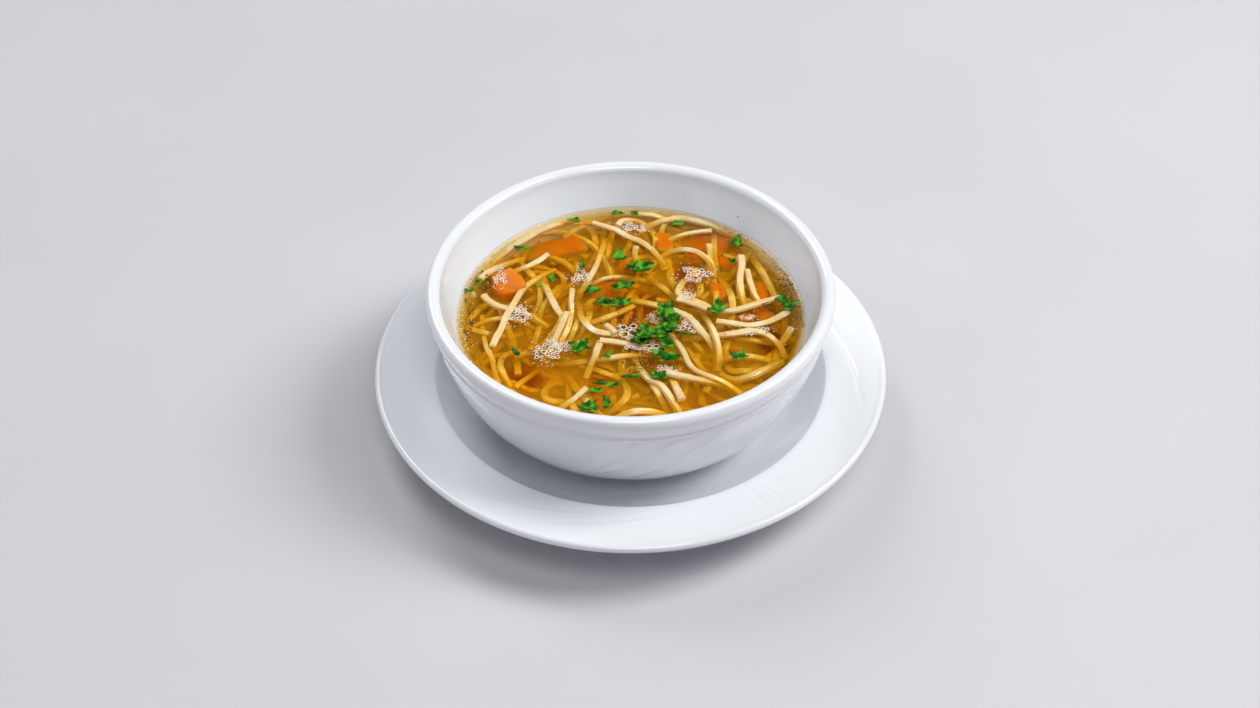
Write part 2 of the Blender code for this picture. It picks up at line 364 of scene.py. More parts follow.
def revolve(profile, columns, shift=None):
    """Points and faces of a turned body whose profile starts and ends on the axis."""
    profile = np.array(profile, float)
    inner = profile[1:-1]
    angles = np.arange(columns) * 2 * math.pi / columns
    radius = np.repeat(inner[:, :1], columns, 1)
    height = np.repeat(inner[:, 1:], columns, 1)
    angle = np.repeat(angles[None, :], len(inner), 0)
    if shift:
        radius, height = shift(radius, height, angle)
    grid = np.stack([radius * np.cos(angle), radius * np.sin(angle), height], -1).reshape(-1, 3)
    points = np.vstack([grid, [[0, 0, profile[0, 1]], [0, 0, profile[-1, 1]]]])
    return points, ring_body(len(inner), columns)


def smooth_step(value):
    value = np.clip(value, 0, 1)
    return value * value * (3 - 2 * value)


def along(points, spacing):
    """The polyline resampled with about that spacing, through a smooth curve."""
    points = np.asarray(points, float)
    if len(points) > 2:
        points = spline(points)
    steps = np.linalg.norm(np.diff(points, axis=0), axis=1)
    reach = np.concatenate([[0], np.cumsum(steps)])
    count = max(int(round(reach[-1] / spacing)), 3)
    where = np.linspace(0, reach[-1], count + 1)
    return np.stack([np.interp(where, reach, points[:, k]) for k in range(points.shape[1])], 1)


def spline(points, fine=12):
    """Centripetal Catmull-Rom curve through the points."""
    ends = np.vstack([2 * points[0] - points[1], points, 2 * points[-1] - points[-2]])
    out = []
    for i in range(1, len(ends) - 2):
        p0, p1, p2, p3 = ends[i - 1 : i + 3]
        t1 = max(np.linalg.norm(p1 - p0), 1e-6) ** 0.5
        t2 = t1 + max(np.linalg.norm(p2 - p1), 1e-6) ** 0.5
        t3 = t2 + max(np.linalg.norm(p3 - p2), 1e-6) ** 0.5
        for t in np.linspace(t1, t2, fine, endpoint=False):
            a1 = (t1 - t) / t1 * p0 + t / t1 * p1
            a2 = (t2 - t) / (t2 - t1) * p1 + (t - t1) / (t2 - t1) * p2
            a3 = (t3 - t) / (t3 - t2) * p2 + (t - t2) / (t3 - t2) * p3
            b1 = (t2 - t) / t2 * a1 + t / t2 * a2
            b2 = (t3 - t) / (t3 - t1) * a2 + (t - t1) / (t3 - t1) * a3
            out.append((t2 - t) / (t2 - t1) * b1 + (t - t1) / (t2 - t1) * b2)
    out.append(points[-1])
    return np.array(out)


# Bowl


def inner_height(radius):
    return FLOOR_Z + (RIM_Z - FLOOR_Z) * (radius / MOUTH_R) ** WALL_POWER


def inner_radius(height):
    return MOUTH_R * (np.clip(height - FLOOR_Z, 0, None) / (RIM_Z - FLOOR_Z)) ** (1 / WALL_POWER)


def bowl_profile():
    points = [(0.0, FLOOR_Z)]
    for radius in list(np.linspace(6, 48, 12)) + list(np.linspace(51, 64.2, 14)):
        points.append((radius, inner_height(radius)))
    lip_z = RIM_Z - LIP_TOP
    crest = RIM_R - LIP_OUTER
    for i in range(29):
        angle = math.pi * (1 - i / 28)
        width = LIP_INNER if i < 14 else LIP_OUTER
        points.append((crest + width * math.cos(angle), lip_z + LIP_TOP * math.sin(angle)))
    bulge = RIM_Z - LIP_DROP
    for share in np.linspace(0.15, 1, 8):
        points.append((RIM_R - (RIM_R - LIP_FOOT_R) * share**2, lip_z + (bulge - lip_z) * share))
    # The bead and groove that part the lip from the body.
    for step, inset in enumerate(BEAD_INSETS, 1):
        points.append((LIP_FOOT_R - inset, bulge - BEAD_STEP * step))
    for i in range(1, 46):
        angle = math.pi / 2 * i / 45
        fall = math.sin(angle) ** (2 / BODY_FALL)
        reach = max(math.cos(angle), 0.0) ** (2 / BODY_SHOULDER)
        radius = BOWL_FOOT_R + (BODY_TOP_R - BOWL_FOOT_R) * reach
        points.append((radius, BODY_TOP_Z - (BODY_TOP_Z - BODY_FOOT_Z) * fall))
    foot_in = BOWL_FOOT_R - 4.6
    points += [
        (BOWL_FOOT_R - 0.05, BOWL_FOOT_Z + 1.6),
        (BOWL_FOOT_R - 0.2, BOWL_FOOT_Z + 0.7),
        (BOWL_FOOT_R - 0.6, BOWL_FOOT_Z + 0.15),
        (BOWL_FOOT_R - 1.1, BOWL_FOOT_Z),
        (foot_in + 0.8, BOWL_FOOT_Z),
        (foot_in + 0.2, BOWL_FOOT_Z + 0.3),
        (foot_in - 0.2, BOWL_FOOT_Z + 1.4),
        (foot_in - 1.2, BOWL_FOOT_Z + 2.1),
        (0.0, BOWL_FOOT_Z + 2.1),
    ]
    return points


# Ridges of one swirl group: angle from the group's start, lean in degrees a millimetre, share of the rise
BOWL_RIDGES = (
    (0.0, 0.72, 0.8),
    (12.0, 1.16, 1.0),
    (26.5, 1.24, 1.0),
    (55.0, 1.0, 0.45),
)
BOWL_GROUP_START = 272.0
BOWL_RIDGE_RISE = 0.8
BOWL_WAVE_HALF = 7.0
BOWL_CREST_HALF = 1.3
RELIEF_TOP_Z = 47.0
RELIEF_FOOT_Z = 21.0


def bowl_relief(radius, height, angle):
    """Low swirling waves on the outer wall, in three groups."""
    outer = (height < RELIEF_TOP_Z) & (radius > inner_radius(height) + 1) & (height > 12)
    down = RELIEF_TOP_Z - height
    fade = smooth_step(down / 2.5) * smooth_step((height - RELIEF_FOOT_Z) / 10)
    raised = np.zeros_like(radius)
    for group in range(3):
        for start, lean, tall in BOWL_RIDGES:
            line = BOWL_GROUP_START + 120 * group + start - lean * down
            off = (np.degrees(angle) - line + 180) % 360 - 180
            steep = smooth_step(1 + 1.8 * off / BOWL_WAVE_HALF)
            gentle = smooth_step(1 - 0.8 * off / BOWL_WAVE_HALF)
            crest = np.exp(-((off / BOWL_CREST_HALF) ** 2))
            raised = np.maximum(raised, tall * (0.45 * np.where(off < 0, steep, gentle) + 0.55 * crest))
    return np.where(outer, radius + BOWL_RIDGE_RISE * (raised - 0.2) * fade, radius), height


# Saucer


def saucer_profile():
    rise = SHOULDER_Z - SAUCER_FLOOR_Z
    run = SHOULDER_R - SAUCER_FLOOR_R
    points = [(0.0, SAUCER_FLOOR_Z), (12.0, SAUCER_FLOOR_Z), (30.0, SAUCER_FLOOR_Z), (44.0, SAUCER_FLOOR_Z)]
    for share in np.linspace(0, 1, 22)[:-1]:
        points.append((SAUCER_FLOOR_R + run * share, SAUCER_FLOOR_Z + rise * share**SHOULDER_SWEEP))
    for out, drop in ((-0.3, 0.3), (0.1, 0.1), (0.7, 0.0)):
        points.append((SHOULDER_R + out, SHOULDER_Z - drop))
    lip_in = SAUCER_R - 2 * SAUCER_LIP_R
    for share in np.linspace(0.06, 1, 40):
        height = SHOULDER_Z + (SAUCER_RIM_Z - SHOULDER_Z) * share
        points.append((SHOULDER_R + (lip_in - SHOULDER_R) * share, height))
    lip_z = SAUCER_RIM_Z - 1.0
    for i in range(17):
        angle = math.radians(115 - 205 * i / 16)
        centre = SAUCER_R - SAUCER_LIP_R
        points.append((centre + SAUCER_LIP_R * math.cos(angle), lip_z + SAUCER_LIP_R * math.sin(angle)))
    points += [
        (SAUCER_R - 4.0, lip_z - SAUCER_LIP_R - 0.2),
        (SAUCER_R - 12.0, lip_z - SAUCER_LIP_R - 1.4),
        (SHOULDER_R + 0.5, SHOULDER_Z - SAUCER_WALL),
        (SHOULDER_R - 4.0, SHOULDER_Z - SAUCER_WALL - 3.4),
        (SAUCER_FLOOR_R + 9.0, SAUCER_FLOOR_Z + 0.4),
        (SAUCER_FLOOR_R + 4.0, SAUCER_FLOOR_Z - SAUCER_WALL + 1.7),
        (SAUCER_FOOT_R + 1.2, 1.6),
        (SAUCER_FOOT_R + 0.6, 0.6),
        (SAUCER_FOOT_R, 0.1),
        (SAUCER_FOOT_R - 0.5, 0.0),
        (SAUCER_FOOT_IN + 0.5, 0.0),
        (SAUCER_FOOT_IN, 0.1),
        (SAUCER_FOOT_IN - 0.5, 1.2),
        (SAUCER_FOOT_IN - 1.2, SAUCER_FLOOR_Z - SAUCER_WALL),
        (0.0, SAUCER_FLOOR_Z - SAUCER_WALL),
    ]
    return points


# Grooves of one swirl motif on the rim, each as (angle, radius) places, then its depth
SAUCER_GROOVES = (
    (((182.3, 86.5), (182.2, 80.0), (182.6, 72.5)), 0.18),
    (((185.6, 86.0), (186.3, 80.0), (184.6, 75.0), (183.0, 72.0)), 0.13),
    (((188.6, 86.0), (188.8, 80.0), (187.0, 75.0), (184.2, 71.8)), 0.12),
    (((191.8, 86.8), (191.6, 80.0), (189.5, 75.5), (185.4, 71.6)), 0.15),
    (((220.0, 85.2), (230.0, 81.6), (240.0, 78.8), (250.0, 76.0), (260.0, 73.4), (270.0, 71.8)), 0.30),
    (((246.0, 83.6), (254.0, 81.0), (262.0, 78.4), (270.0, 76.0), (278.0, 73.8), (286.0, 72.2)), 0.30),
    (((264.0, 83.0), (270.0, 79.4), (276.0, 75.8), (282.0, 73.0)), 0.16),
)
GROOVE_HALF = 0.85


def saucer_relief(radius, height, angle):
    """Fine curved grooves on the rim, in three motifs."""
    upper = (radius > SHOULDER_R) & (radius < SAUCER_R - 3) & (height > SHOULDER_Z - 0.5)
    sunk = np.zeros_like(radius)
    degrees = np.degrees(angle)
    for motif in range(3):
        for places, depth in SAUCER_GROOVES:
            path = along([(a + 120 * motif, r) for a, r in places], 0.6)
            turn, reach = path[:, 0], path[:, 1]
            tree = KDTree(len(path))
            for k in range(len(path)):
                a = math.radians(turn[k])
                tree.insert((reach[k] * math.cos(a), reach[k] * math.sin(a), 0), k)
            tree.balance()
            low, high = turn.min() - 2, turn.max() + 2
            near = upper & (((degrees - low) % 360) < (high - low))
            near &= (radius > reach.min() - 2) & (radius < reach.max() + 2)
            for row, column in zip(*np.nonzero(near)):
                a, r = angle[row, column], radius[row, column]
                _, k, gap = tree.find((r * math.cos(a), r * math.sin(a), 0))
                if gap > 2 * GROOVE_HALF:
                    continue
                ends = min(k, len(path) - 1 - k) / (0.22 * len(path))
                shape = math.exp(-((gap / GROOVE_HALF) ** 2)) * float(smooth_step(ends))
                sunk[row, column] = max(sunk[row, column], depth * shape)
    return radius, height - sunk


def make_dishes(glaze):
    points, faces = revolve(bowl_profile(), BOWL_COLUMNS, bowl_relief)
    mesh_piece("bowl_glazed", points, faces, glaze, "porcelain", ["bowl"])
    points, faces = revolve(saucer_profile(), SAUCER_COLUMNS, saucer_relief)
    mesh_piece("saucer_glazed", points, faces, glaze, "porcelain", ["saucer"])


# Soup: heights and laying


SURFACE = LEVEL_Z
NOODLE_WIDTH = 2.3
NOODLE_SIDES = 16
NOODLE_SQUARE = 6.0
NOODLE_STEP = 1.0
CLEARANCE = 1.8
DIP_SLOPE = 0.5
LINE_BLUR = 1.6
LIFT_ALLOWED = 0.25
SIGHT_SHIFT = 0.6
CELL = 0.5
CELLS = 280
CORE_TOP = 9.0


class Stack:
    """Lets each noodle lie under those laid before it, on a grid of the lowest height still free."""

    def __init__(self):
        self.ceiling = np.full((CELLS, CELLS), SURFACE + 5.0)
        reach = int(NOODLE_WIDTH / CELL) + 1
        side = np.arange(-reach, reach + 1) * CELL
        away = np.hypot(*np.meshgrid(side, side))
        self.reach = reach
        round_off = np.sqrt(np.clip(1 - (away / (NOODLE_WIDTH + 0.2)) ** 2, 0, 1))
        self.dome = np.where(away < NOODLE_WIDTH, CLEARANCE * round_off, -np.inf)

    def cell(self, route):
        places = np.round(route[:, :2] / CELL).astype(int) + CELLS // 2
        return np.clip(places, self.reach, CELLS - self.reach - 1)

    def lay(self, route, depths):
        """Heights along the route: the wished depth, or lower where a noodle above is in the way."""
        steps = np.linalg.norm(np.diff(route[:, :2], axis=0), axis=1)
        reach = np.concatenate([[0], np.cumsum(steps)])
        wished = SURFACE - np.interp(reach, np.linspace(0, reach[-1], len(depths)), depths)
        places = self.cell(route)
        free = np.minimum(wished, self.ceiling[places[:, 0], places[:, 1]])
        gaps = np.abs(reach[:, None] - reach[None, :])
        height = (free[None, :] + DIP_SLOPE * gaps).min(1)
        blur = np.exp(-((gaps / LINE_BLUR) ** 2))
        height = (blur * height[None, :]).sum(1) / blur.sum(1)
        return np.minimum(height, free + LIFT_ALLOWED)

    def mark(self, route, height):
        r = self.reach
        for (i, j), z in zip(self.cell(route), height):
            block = self.ceiling[i - r : i + r + 1, j - r : j + r + 1]
            np.minimum(block, z - self.dome, out=block)


def unit(vectors):
    return vectors / np.maximum(np.linalg.norm(vectors, axis=-1, keepdims=True), 1e-9)


def strand_mesh(route, width, rise, roll):
    """A noodle of rounded square section with flat cut ends: points and faces."""
    count = len(route)
    ahead = unit(np.gradient(route, axis=0))
    side = unit(np.cross(ahead, [0, 0, 1.0]))
    up = np.cross(side, ahead)
    turn = np.arange(NOODLE_SIDES) * 2 * math.pi / NOODLE_SIDES + math.pi / NOODLE_SIDES
    square = np.abs(np.cos(turn)) ** NOODLE_SQUARE + np.abs(np.sin(turn)) ** NOODLE_SQUARE
    square **= -1 / NOODLE_SQUARE
    a = np.cos(turn)[None, :] * square[None, :] * width[:, None] / 2
    b = np.sin(turn)[None, :] * square[None, :] * rise[:, None] / 2
    c, s = np.cos(roll)[:, None], np.sin(roll)[:, None]
    across, above = a * c - b * s, a * s + b * c
    points = route[:, None, :] + side[:, None, :] * across[..., None] + up[:, None, :] * above[..., None]
    points = points.reshape(-1, 3)
    n = NOODLE_SIDES
    faces = list(ring_quads(count, n, flip=True))
    faces.append(tuple(range(n - 1, -1, -1)))
    faces.append(tuple((count - 1) * n + k for k in range(n)))
    return points, faces


def wander(count, size, spacing):
    """A slow random wave along a strand."""
    knots = max(count // spacing + 2, 3)
    values = [rng.uniform(-size, size) for _ in range(knots)]
    return np.interp(np.linspace(0, knots - 1, count), range(knots), values)


def dress(route):
    """One noodle's mesh on its route, a little uneven in width, roll and line."""
    count = len(route)
    size = NOODLE_WIDTH * rng.uniform(0.85, 1.12)
    width = size * (1 + wander(count, 0.11, 7))
    rise = size * rng.uniform(0.86, 1.0) * (1 + wander(count, 0.06, 8))
    roll = rng.uniform(-0.35, 0.35) + np.linspace(0, rng.uniform(-0.6, 0.6), count) + wander(count, 0.12, 9)
    route = route + np.stack([wander(count, 0.16, 5), wander(count, 0.16, 5), wander(count, 0.05, 6)], 1)
    return strand_mesh(route, width, rise, roll)


def joined(parts):
    points, faces, start = [], [], 0
    for part_points, part_faces in parts:
        points.append(part_points)
        faces += [tuple(i + start for i in face) for face in part_faces]
        start += len(part_points)
    return np.vstack(points), faces


# Noodles that show at the surface: depths of the middle line under the level, then its way in plan
SURFACE_NOODLES = (
    ((0.7, 0.4, 0.4, 0.4), (-36, 17), (-38, 14), (-40, 9), (-43, 0), (-45, -8), (-47.5, -17)),
    (
        (0.6, 0.5, 0.6, 1.4), 
        (-32, 24), (-31, 18), (-29.5, 13), (-27.5, 7), (-25.5, 2), (-24, -2), (-27, -11), (-30, -15),
    ),
    ((0.8, 1.0, 2.2), (-39.5, 28.3), (-37, 24), (-34.5, 20), (-32.7, 16), (-32, 9.5)),
    ((1.6, 0.6, 0.4), (-30.5, 5), (-31.5, 1), (-32, -8), (-33.5, -15)),
    ((0.5, 0.5, 1.2), (-30, 33.5), (-33, 29.8), (-38, 26)),
    (
        (0.9, 0.3, 0.3, 0.7, 1.6), 
        (-11.5, 31), (-13, 25), (-15, 19), (-17.5, 12.5), (-19, 8), (-19.5, 2), (-19, -4), (-22, -15),
    ),
    ((2.2, 1.6, 1.8, 2.6), (-28, 24.5), (-25, 22), (-24, 17.5), (-26, 12), (-28, 8)),
    ((0.4, 0.5, 0.8, 1.3), (-20.7, 13.5), (-21, 8), (-21, 0), (-22, -7), (-24, -14)),
    ((0.5, 0.5, 1.2), (-22.5, 1), (-24, -6), (-26, -13)),
    ((0.6, 0.6, 1.4), (-52, 10), (-50, 7), (-46, 4), (-42, 3), (-38, 1)),
    ((0.4, 0.4, 0.9), (-59, 15), (-54, 19), (-52, 22), (-49, 25)),
    ((0.5, 0.5), (-59.5, 12.5), (-58, 11.8), (-55.5, 10)),
    (
        (2.2, 0.9, 0.7, 0.7, 1.0, 2.4), 
        (-40, 42), (-34, 46), (-28, 47.5), (-22, 45.5), (-16, 41), (-12, 36), (-9.5, 31),
    ),
    ((1.0, 1.4), (-39, 46), (-32, 49.5), (-25, 51.5)),
    ((0.8, 1.2, 2.0), (-17, 55), (-16, 50), (-14, 46), (-13, 42)),
    ((0.4, 0.4, 0.4, 0.9), (-14, 51.5), (-9.5, 49.5), (-5.5, 47.5), (-0.5, 43), (4, 40.5), (8, 36)),
    ((1.6, 2.6), (-10, 45), (-11, 41), (-12, 37)),
    ((2.2, 3.4), (-7, 45), (-7.5, 41), (-8, 38)),
    ((1.4, 0.8, 1.4), (-12, 18), (-8, 20), (-3, 20.5)),
    ((0.7, 0.5, 2.0), (-60, -7), (-55, -6), (-50, -3), (-45, -2), (-40, -3)),
    ((0.8, 0.5), (-57, -7), (-52, -9), (-49, -10)),
    ((0.5, 1.2), (-57, -8), (-58, -14), (-58, -18)),
    ((0.9, 0.5, 0.5, 1.6, 3.4), (-38, -20), (-41, -19.5), (-44, -22), (-44.5, -26), (-43, -31), (-41, -36)),
    ((1.8, 2.4, 3.4), (-50.5, -12), (-49, -18), (-47, -24), (-45, -33)),
    ((1.4, 2.0), (-42.5, -8), (-41, -14), (-40, -19)),
    ((0.9, 0.4, 0.3, 0.4, 1.0, 2.2), (-16, -7), (-18, -12), (-22, -18), (-28, -24), (-34, -31), (-39, -37)),
    ((2.8, 2.0), (-6, 0), (-11, -3), (-15, -5)),
    ((0.9, 0.4, 0.4), (-15, -6), (-12, -9), (-7, -10.5), (-2, -10.5)),
    ((0.2, 0.6), (-8.5, -6), (-6.5, -8), (-5, -10)),
    ((0.4, 0.4, 0.9), (-10.5, -13.8), (-5, -14.5), (0, -16)),
    ((0.5, 1.0), (-10.5, -14.5), (-11.5, -19), (-12, -21)),
    ((1.2, 0.5, 0.5, 0.8), (-17, -24.6), (-10, -23.5), (-4, -22), (2, -21), (7, -21)),
    ((0.7, 0.8), (-24, -22.5), (-19, -25), (-14, -27.5)),
    ((1.0, 1.1, 1.2, 1.6), (-20, -27.5), (-14, -30.5), (-8, -31.5), (-3, -30), (0, -28)),
    ((0.9, 0.8, 1.4), (-23, -29), (-20, -34), (-18, -38), (-15, -43)),
    ((1.4, 0.5, 0.5), (-22, -46), (-18, -42), (-15, -37.5)),
    ((3.4, 2.6, 3.0, 3.6), (-21, -36), (-26, -35), (-29, -39), (-28, -43), (-23, -44.5)),
    ((1.2, 1.6), (-20, -44), (-18.5, -48), (-17, -50)),
    ((0.6, 0.5, 0.5, 1.5), (-5, 50), (-3, 53), (2, 53.5), (6, 50.5), (8.5, 45.5)),
    ((0.5, 0.4, 0.8, 1.8, 2.4), (2, 38), (1.8, 33), (3, 28), (6, 22), (9, 17.5), (12, 14), (15, 10)),
    ((1.8, 1.8, 2.6), (10.5, 32), (13, 31), (14, 26), (14.5, 20), (16, 15)),
    ((1.2, 0.8, 1.2), (12, 33), (15, 35), (20, 36), (24, 35), (27, 32)),
    ((1.2, 0.7, 0.6), (16, 43), (20, 45), (25, 46.5), (30, 47)),
    ((1.5, 1.1, 0.9, 1.0, 1.5), (-16, 51.5), (-9.5, 55.0), (-2, 56.8), (5.5, 57), (11, 55.5)),
    ((0.8, 0.5, 0.5, 0.9), (13, 53.2), (20, 54), (27.5, 51.2), (35, 46.6), (41, 42)),
    ((1.2, 0.7, 0.8, 1.4), (-47, 33), (-41, 40), (-34, 46.5), (-26, 51.5)),
    ((1.8, 0.8, 0.5, 0.5, 0.7, 1.4), (12, 49), (14, 53), (18, 56), (23, 55), (30, 52), (36, 48), (41, 43)),
    ((0.3, 0.4, 1.0, 1.8, 2.6), (28.5, 39), (29, 33), (28.5, 27), (30, 20), (30.5, 12)),
    ((1.2, 1.4, 1.4, 2.0), (30.5, 35), (31, 27), (32.5, 20), (35, 14), (36, 5)),
    ((0.2, 0.4, 0.8, 1.6), (40, 32), (40, 26), (39, 20), (39, 15)),
    ((0.4, 0.6, 1.2), (42, 24), (42.5, 18), (44, 11)),
    ((3.0, 3.0, 3.4), (45, 30), (47, 25), (49, 18), (51, 11)),
    ((1.2, 2.0), (38, 25), (36, 22), (33, 18)),
    ((1.0, 0.3, 0.4, 0.4), (17.5, 14.5), (17, 11), (19, 9), (23, 7), (27, 4), (29, 1)),
    ((0.4, 0.5), (16.5, 8), (22, 5.5), (27, 2.6)),
    ((1.6, 1.0), (25, 15), (24, 11), (21, 9)),
    ((0.8, 0.5, 0.5, 0.6), (31, 1.5), (36, 2), (42, 4.5), (48, 7), (53, 9)),
    ((0.6, 0.5, 0.5, 0.5), (30, -3.5), (36, -5), (41.5, -6), (47, -4.5), (52.5, -1), (55.5, 2)),
    ((0.8, 0.4, 0.4, 0.8, 1.6), (10, 4.5), (14, 2.5), (20, -2), (24, -8), (27, -14), (29, -20), (29, -28)),
    ((0.6, 0.5, 1.0), (25, 1), (27, -4), (29, -10), (30, -17)),
    ((0.9, 0.7, 1.6), (17, -8), (20, -12), (24, -18), (27, -24), (29, -28)),
    ((1.0, 0.5, 0.5, 0.9), (16, -15), (18, -20), (19.5, -25), (22, -29), (27, -32), (33, -36), (37, -40)),
    ((1.6, 1.8, 2.4), (18.5, -15), (21, -21), (24, -27)),
    ((0.6, 0.4, 0.5, 1.4), (12, -30), (16, -31.5), (21, -33), (27, -34.5), (35, -38), (40, -41)),
    (
        (0.7, 0.4, 0.3, 0.4, 0.8, 1.6), 
        (36, -22), (32, -23.5), (30, -27), (31, -31), (35, -33.5),
        (40, -32), (46, -28), (52, -24), (55, -21.5),
    ),
    ((1.0, 0.9, 1.6), (33, -26), (34.5, -29), (38, -29), (43, -28.5)),
    ((0.8, 0.5, 0.5, 0.8, 1.4), (30, -11), (36, -10), (41, -9), (45, -9.4), (48, -11.5)),
    ((1.0, 0.9, 1.6), (30, -11.5), (38, -12.5), (46, -14)),
    ((0.6, 1.6), (56, -7), (54, -11), (52, -16)),
    ((1.2, 0.3), (14.5, -35), (16, -40), (17, -43.5)),
    ((1.2, 0.7, 0.7, 1.4), (3, -28), (6, -33), (10, -36), (13, -42), (16, -49)),
    ((1.8, 2.0), (7, -35), (9, -40), (12, -49)),
    ((1.2, 0.4, 1.2), (-3.5, -51), (2.5, -48.5), (9.5, -49.5), (13, -52)),
    ((2.6, 3.4), (-3, -33), (-1, -40), (-4, -46)),
)

CUT_END = 0.65
DIVE_LENGTH = 12.0
DIVE_DEPTH = 6.5
DIVE_EDGE = 59.0


def with_dives(depths, places):
    """Runs each end that lies below the surface on along its bend, down out of sight."""
    depths, places = list(depths), [np.array(place, float) for place in places]
    for _ in range(2):
        if depths[-1] > CUT_END:
            step = places[-1] - places[-2]
            bend = 0.0
            if len(places) > 2:
                before = places[-2] - places[-3]
                bend = math.atan2(before[0] * step[1] - before[1] * step[0], before @ step)
                bend = max(-0.5, min(0.5, bend))
            heading = math.atan2(step[1], step[0])
            spacing = DIVE_LENGTH / 2
            for fall in (0.45, 1.0):
                heading += 0.7 * bend
                places.append(places[-1] + spacing * np.array([math.cos(heading), math.sin(heading)]))
                depths.append(depths[-1] + (DIVE_DEPTH - depths[-1]) * fall)
        depths.reverse()
        places.reverse()
    return depths, [place for place in places if math.hypot(*place) < DIVE_EDGE]


SUNK_NOODLES = 120
SUNK_TRIES = 2500
SUNK_DEPTHS = (3.4, 8.5)
SUNK_LENGTHS = (22, 58)
SUNK_SHORTEST = 14
SUNK_EDGE = 57
SUNK_ROOF = 1.6

# Open water between the noodles: centre and radius
GAPS = (
    ((3, 10), 11.0),
    ((0, 0), 7.0),
    ((50, -13), 9.0),
    ((-36, -30), 9.0),
    ((20, 26), 7.0),
    ((-10, -29), 5.0),
    ((-27, 26), 6.0),
)
GAP_FLOOR = 7.5
GAP_STEEP = 1.6


def in_gap(x, y):
    """How far into open water a place is, 0 to 1."""
    return max(max(0.0, 1 - math.hypot(x - a, y - b) / radius) for (a, b), radius in GAPS)


def openness(x, y, steep=GAP_STEEP):
    """The same for numbers or arrays, with a soft edge that a higher steep value draws together."""
    return smooth_step(steep * np.vectorize(in_gap)(x, y))


def sunk_route():
    """A random bent noodle somewhere inside the bowl, in plan."""
    reach = 56 * math.sqrt(rng.random())
    place = rng.uniform(0, 2 * math.pi)
    x, y = reach * math.cos(place), reach * math.sin(place)
    heading = rng.uniform(0, 2 * math.pi)
    bend = rng.choice((-1, 1)) * rng.uniform(0.005, 0.06)
    route = []
    for _ in range(rng.randint(*SUNK_LENGTHS)):
        route.append((x, y))
        heading += bend + rng.uniform(-0.03, 0.03)
        x += math.cos(heading)
        y += math.sin(heading)
        if math.hypot(x, y) > SUNK_EDGE:
            break
    return np.array(route)


def make_noodles(material):
    """The noodles at the surface, topmost first, then the sunk ones in the room that is left under them."""
    stack = Stack()
    strands = []
    for depths, *places in sorted(SURFACE_NOODLES, key=lambda row: sum(row[0]) / len(row[0])):
        depths, places = with_dives(depths, places)
        route = along(places, NOODLE_STEP)
        height = stack.lay(route, depths)
        height = np.maximum(height, inner_height(np.hypot(route[:, 0], route[:, 1])) + 1.2)
        stack.mark(route, height)
        under = np.maximum(SURFACE - height - 0.5, 0)
        strands.append(dress(np.column_stack([route[:, 0], route[:, 1] + SIGHT_SHIFT * under, height])))
    points, faces = joined(strands)
    mesh_piece("noodles_at_surface", points, faces, material, "noodles", ["noodles"], 38)
    sunk = []
    tries = 0
    while len(sunk) < SUNK_NOODLES and tries < SUNK_TRIES:
        tries += 1
        route = sunk_route()
        if len(route) < SUNK_SHORTEST:
            continue
        depth = rng.uniform(*SUNK_DEPTHS)
        if max(in_gap(*place) for place in route) > 0.15 and (depth < 7.5 or rng.random() < 0.6):
            continue
        height = stack.lay(route, (depth + rng.uniform(-1, 2), depth, depth + rng.uniform(-1, 2.5)))
        wall = inner_height(np.hypot(route[:, 0], route[:, 1])) + 1.3
        height = np.maximum(height, wall)
        if height.min() < SURFACE - CORE_TOP - 2.5 or (height > SURFACE - SUNK_ROOF).any():
            continue
        stack.mark(route, height)
        sunk.append(dress(np.column_stack([route, height])))
    points, faces = joined(sunk)
    mesh_piece("noodles_sunk", points, faces, material, "noodles", ["noodles"], 38)


CORE_ROWS = 60
CORE_COLUMNS = 240
CORE_EDGE = 54.2
CORE_TUCK = 0.96
CORE_WAYS = 14
RIDGE_PITCH = 2.6
RIDGE_RISE = 1.2


def core_top(x, y, ways):
    """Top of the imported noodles: strands that run several ways, a slow slump, and hollows in open water."""
    ridge = 0.0
    for p, q, way in ways:
        u = x * math.cos(way) + y * math.sin(way)
        v = -x * math.sin(way) + y * math.cos(way)
        patch = max(0.0, math.sin(0.11 * v + p) * math.sin(0.09 * u + q))
        strand = 0.5 + 0.5 * math.cos(2 * math.pi * u / RIDGE_PITCH + 1.2 * math.sin(0.1 * v))
        ridge = max(ridge, patch * strand)
    slump = 0.9 * math.sin(0.13 * x + 1) * math.sin(0.11 * y)
    return SURFACE - CORE_TOP - RIDGE_RISE + RIDGE_RISE * ridge + slump - GAP_FLOOR * openness(x, y)


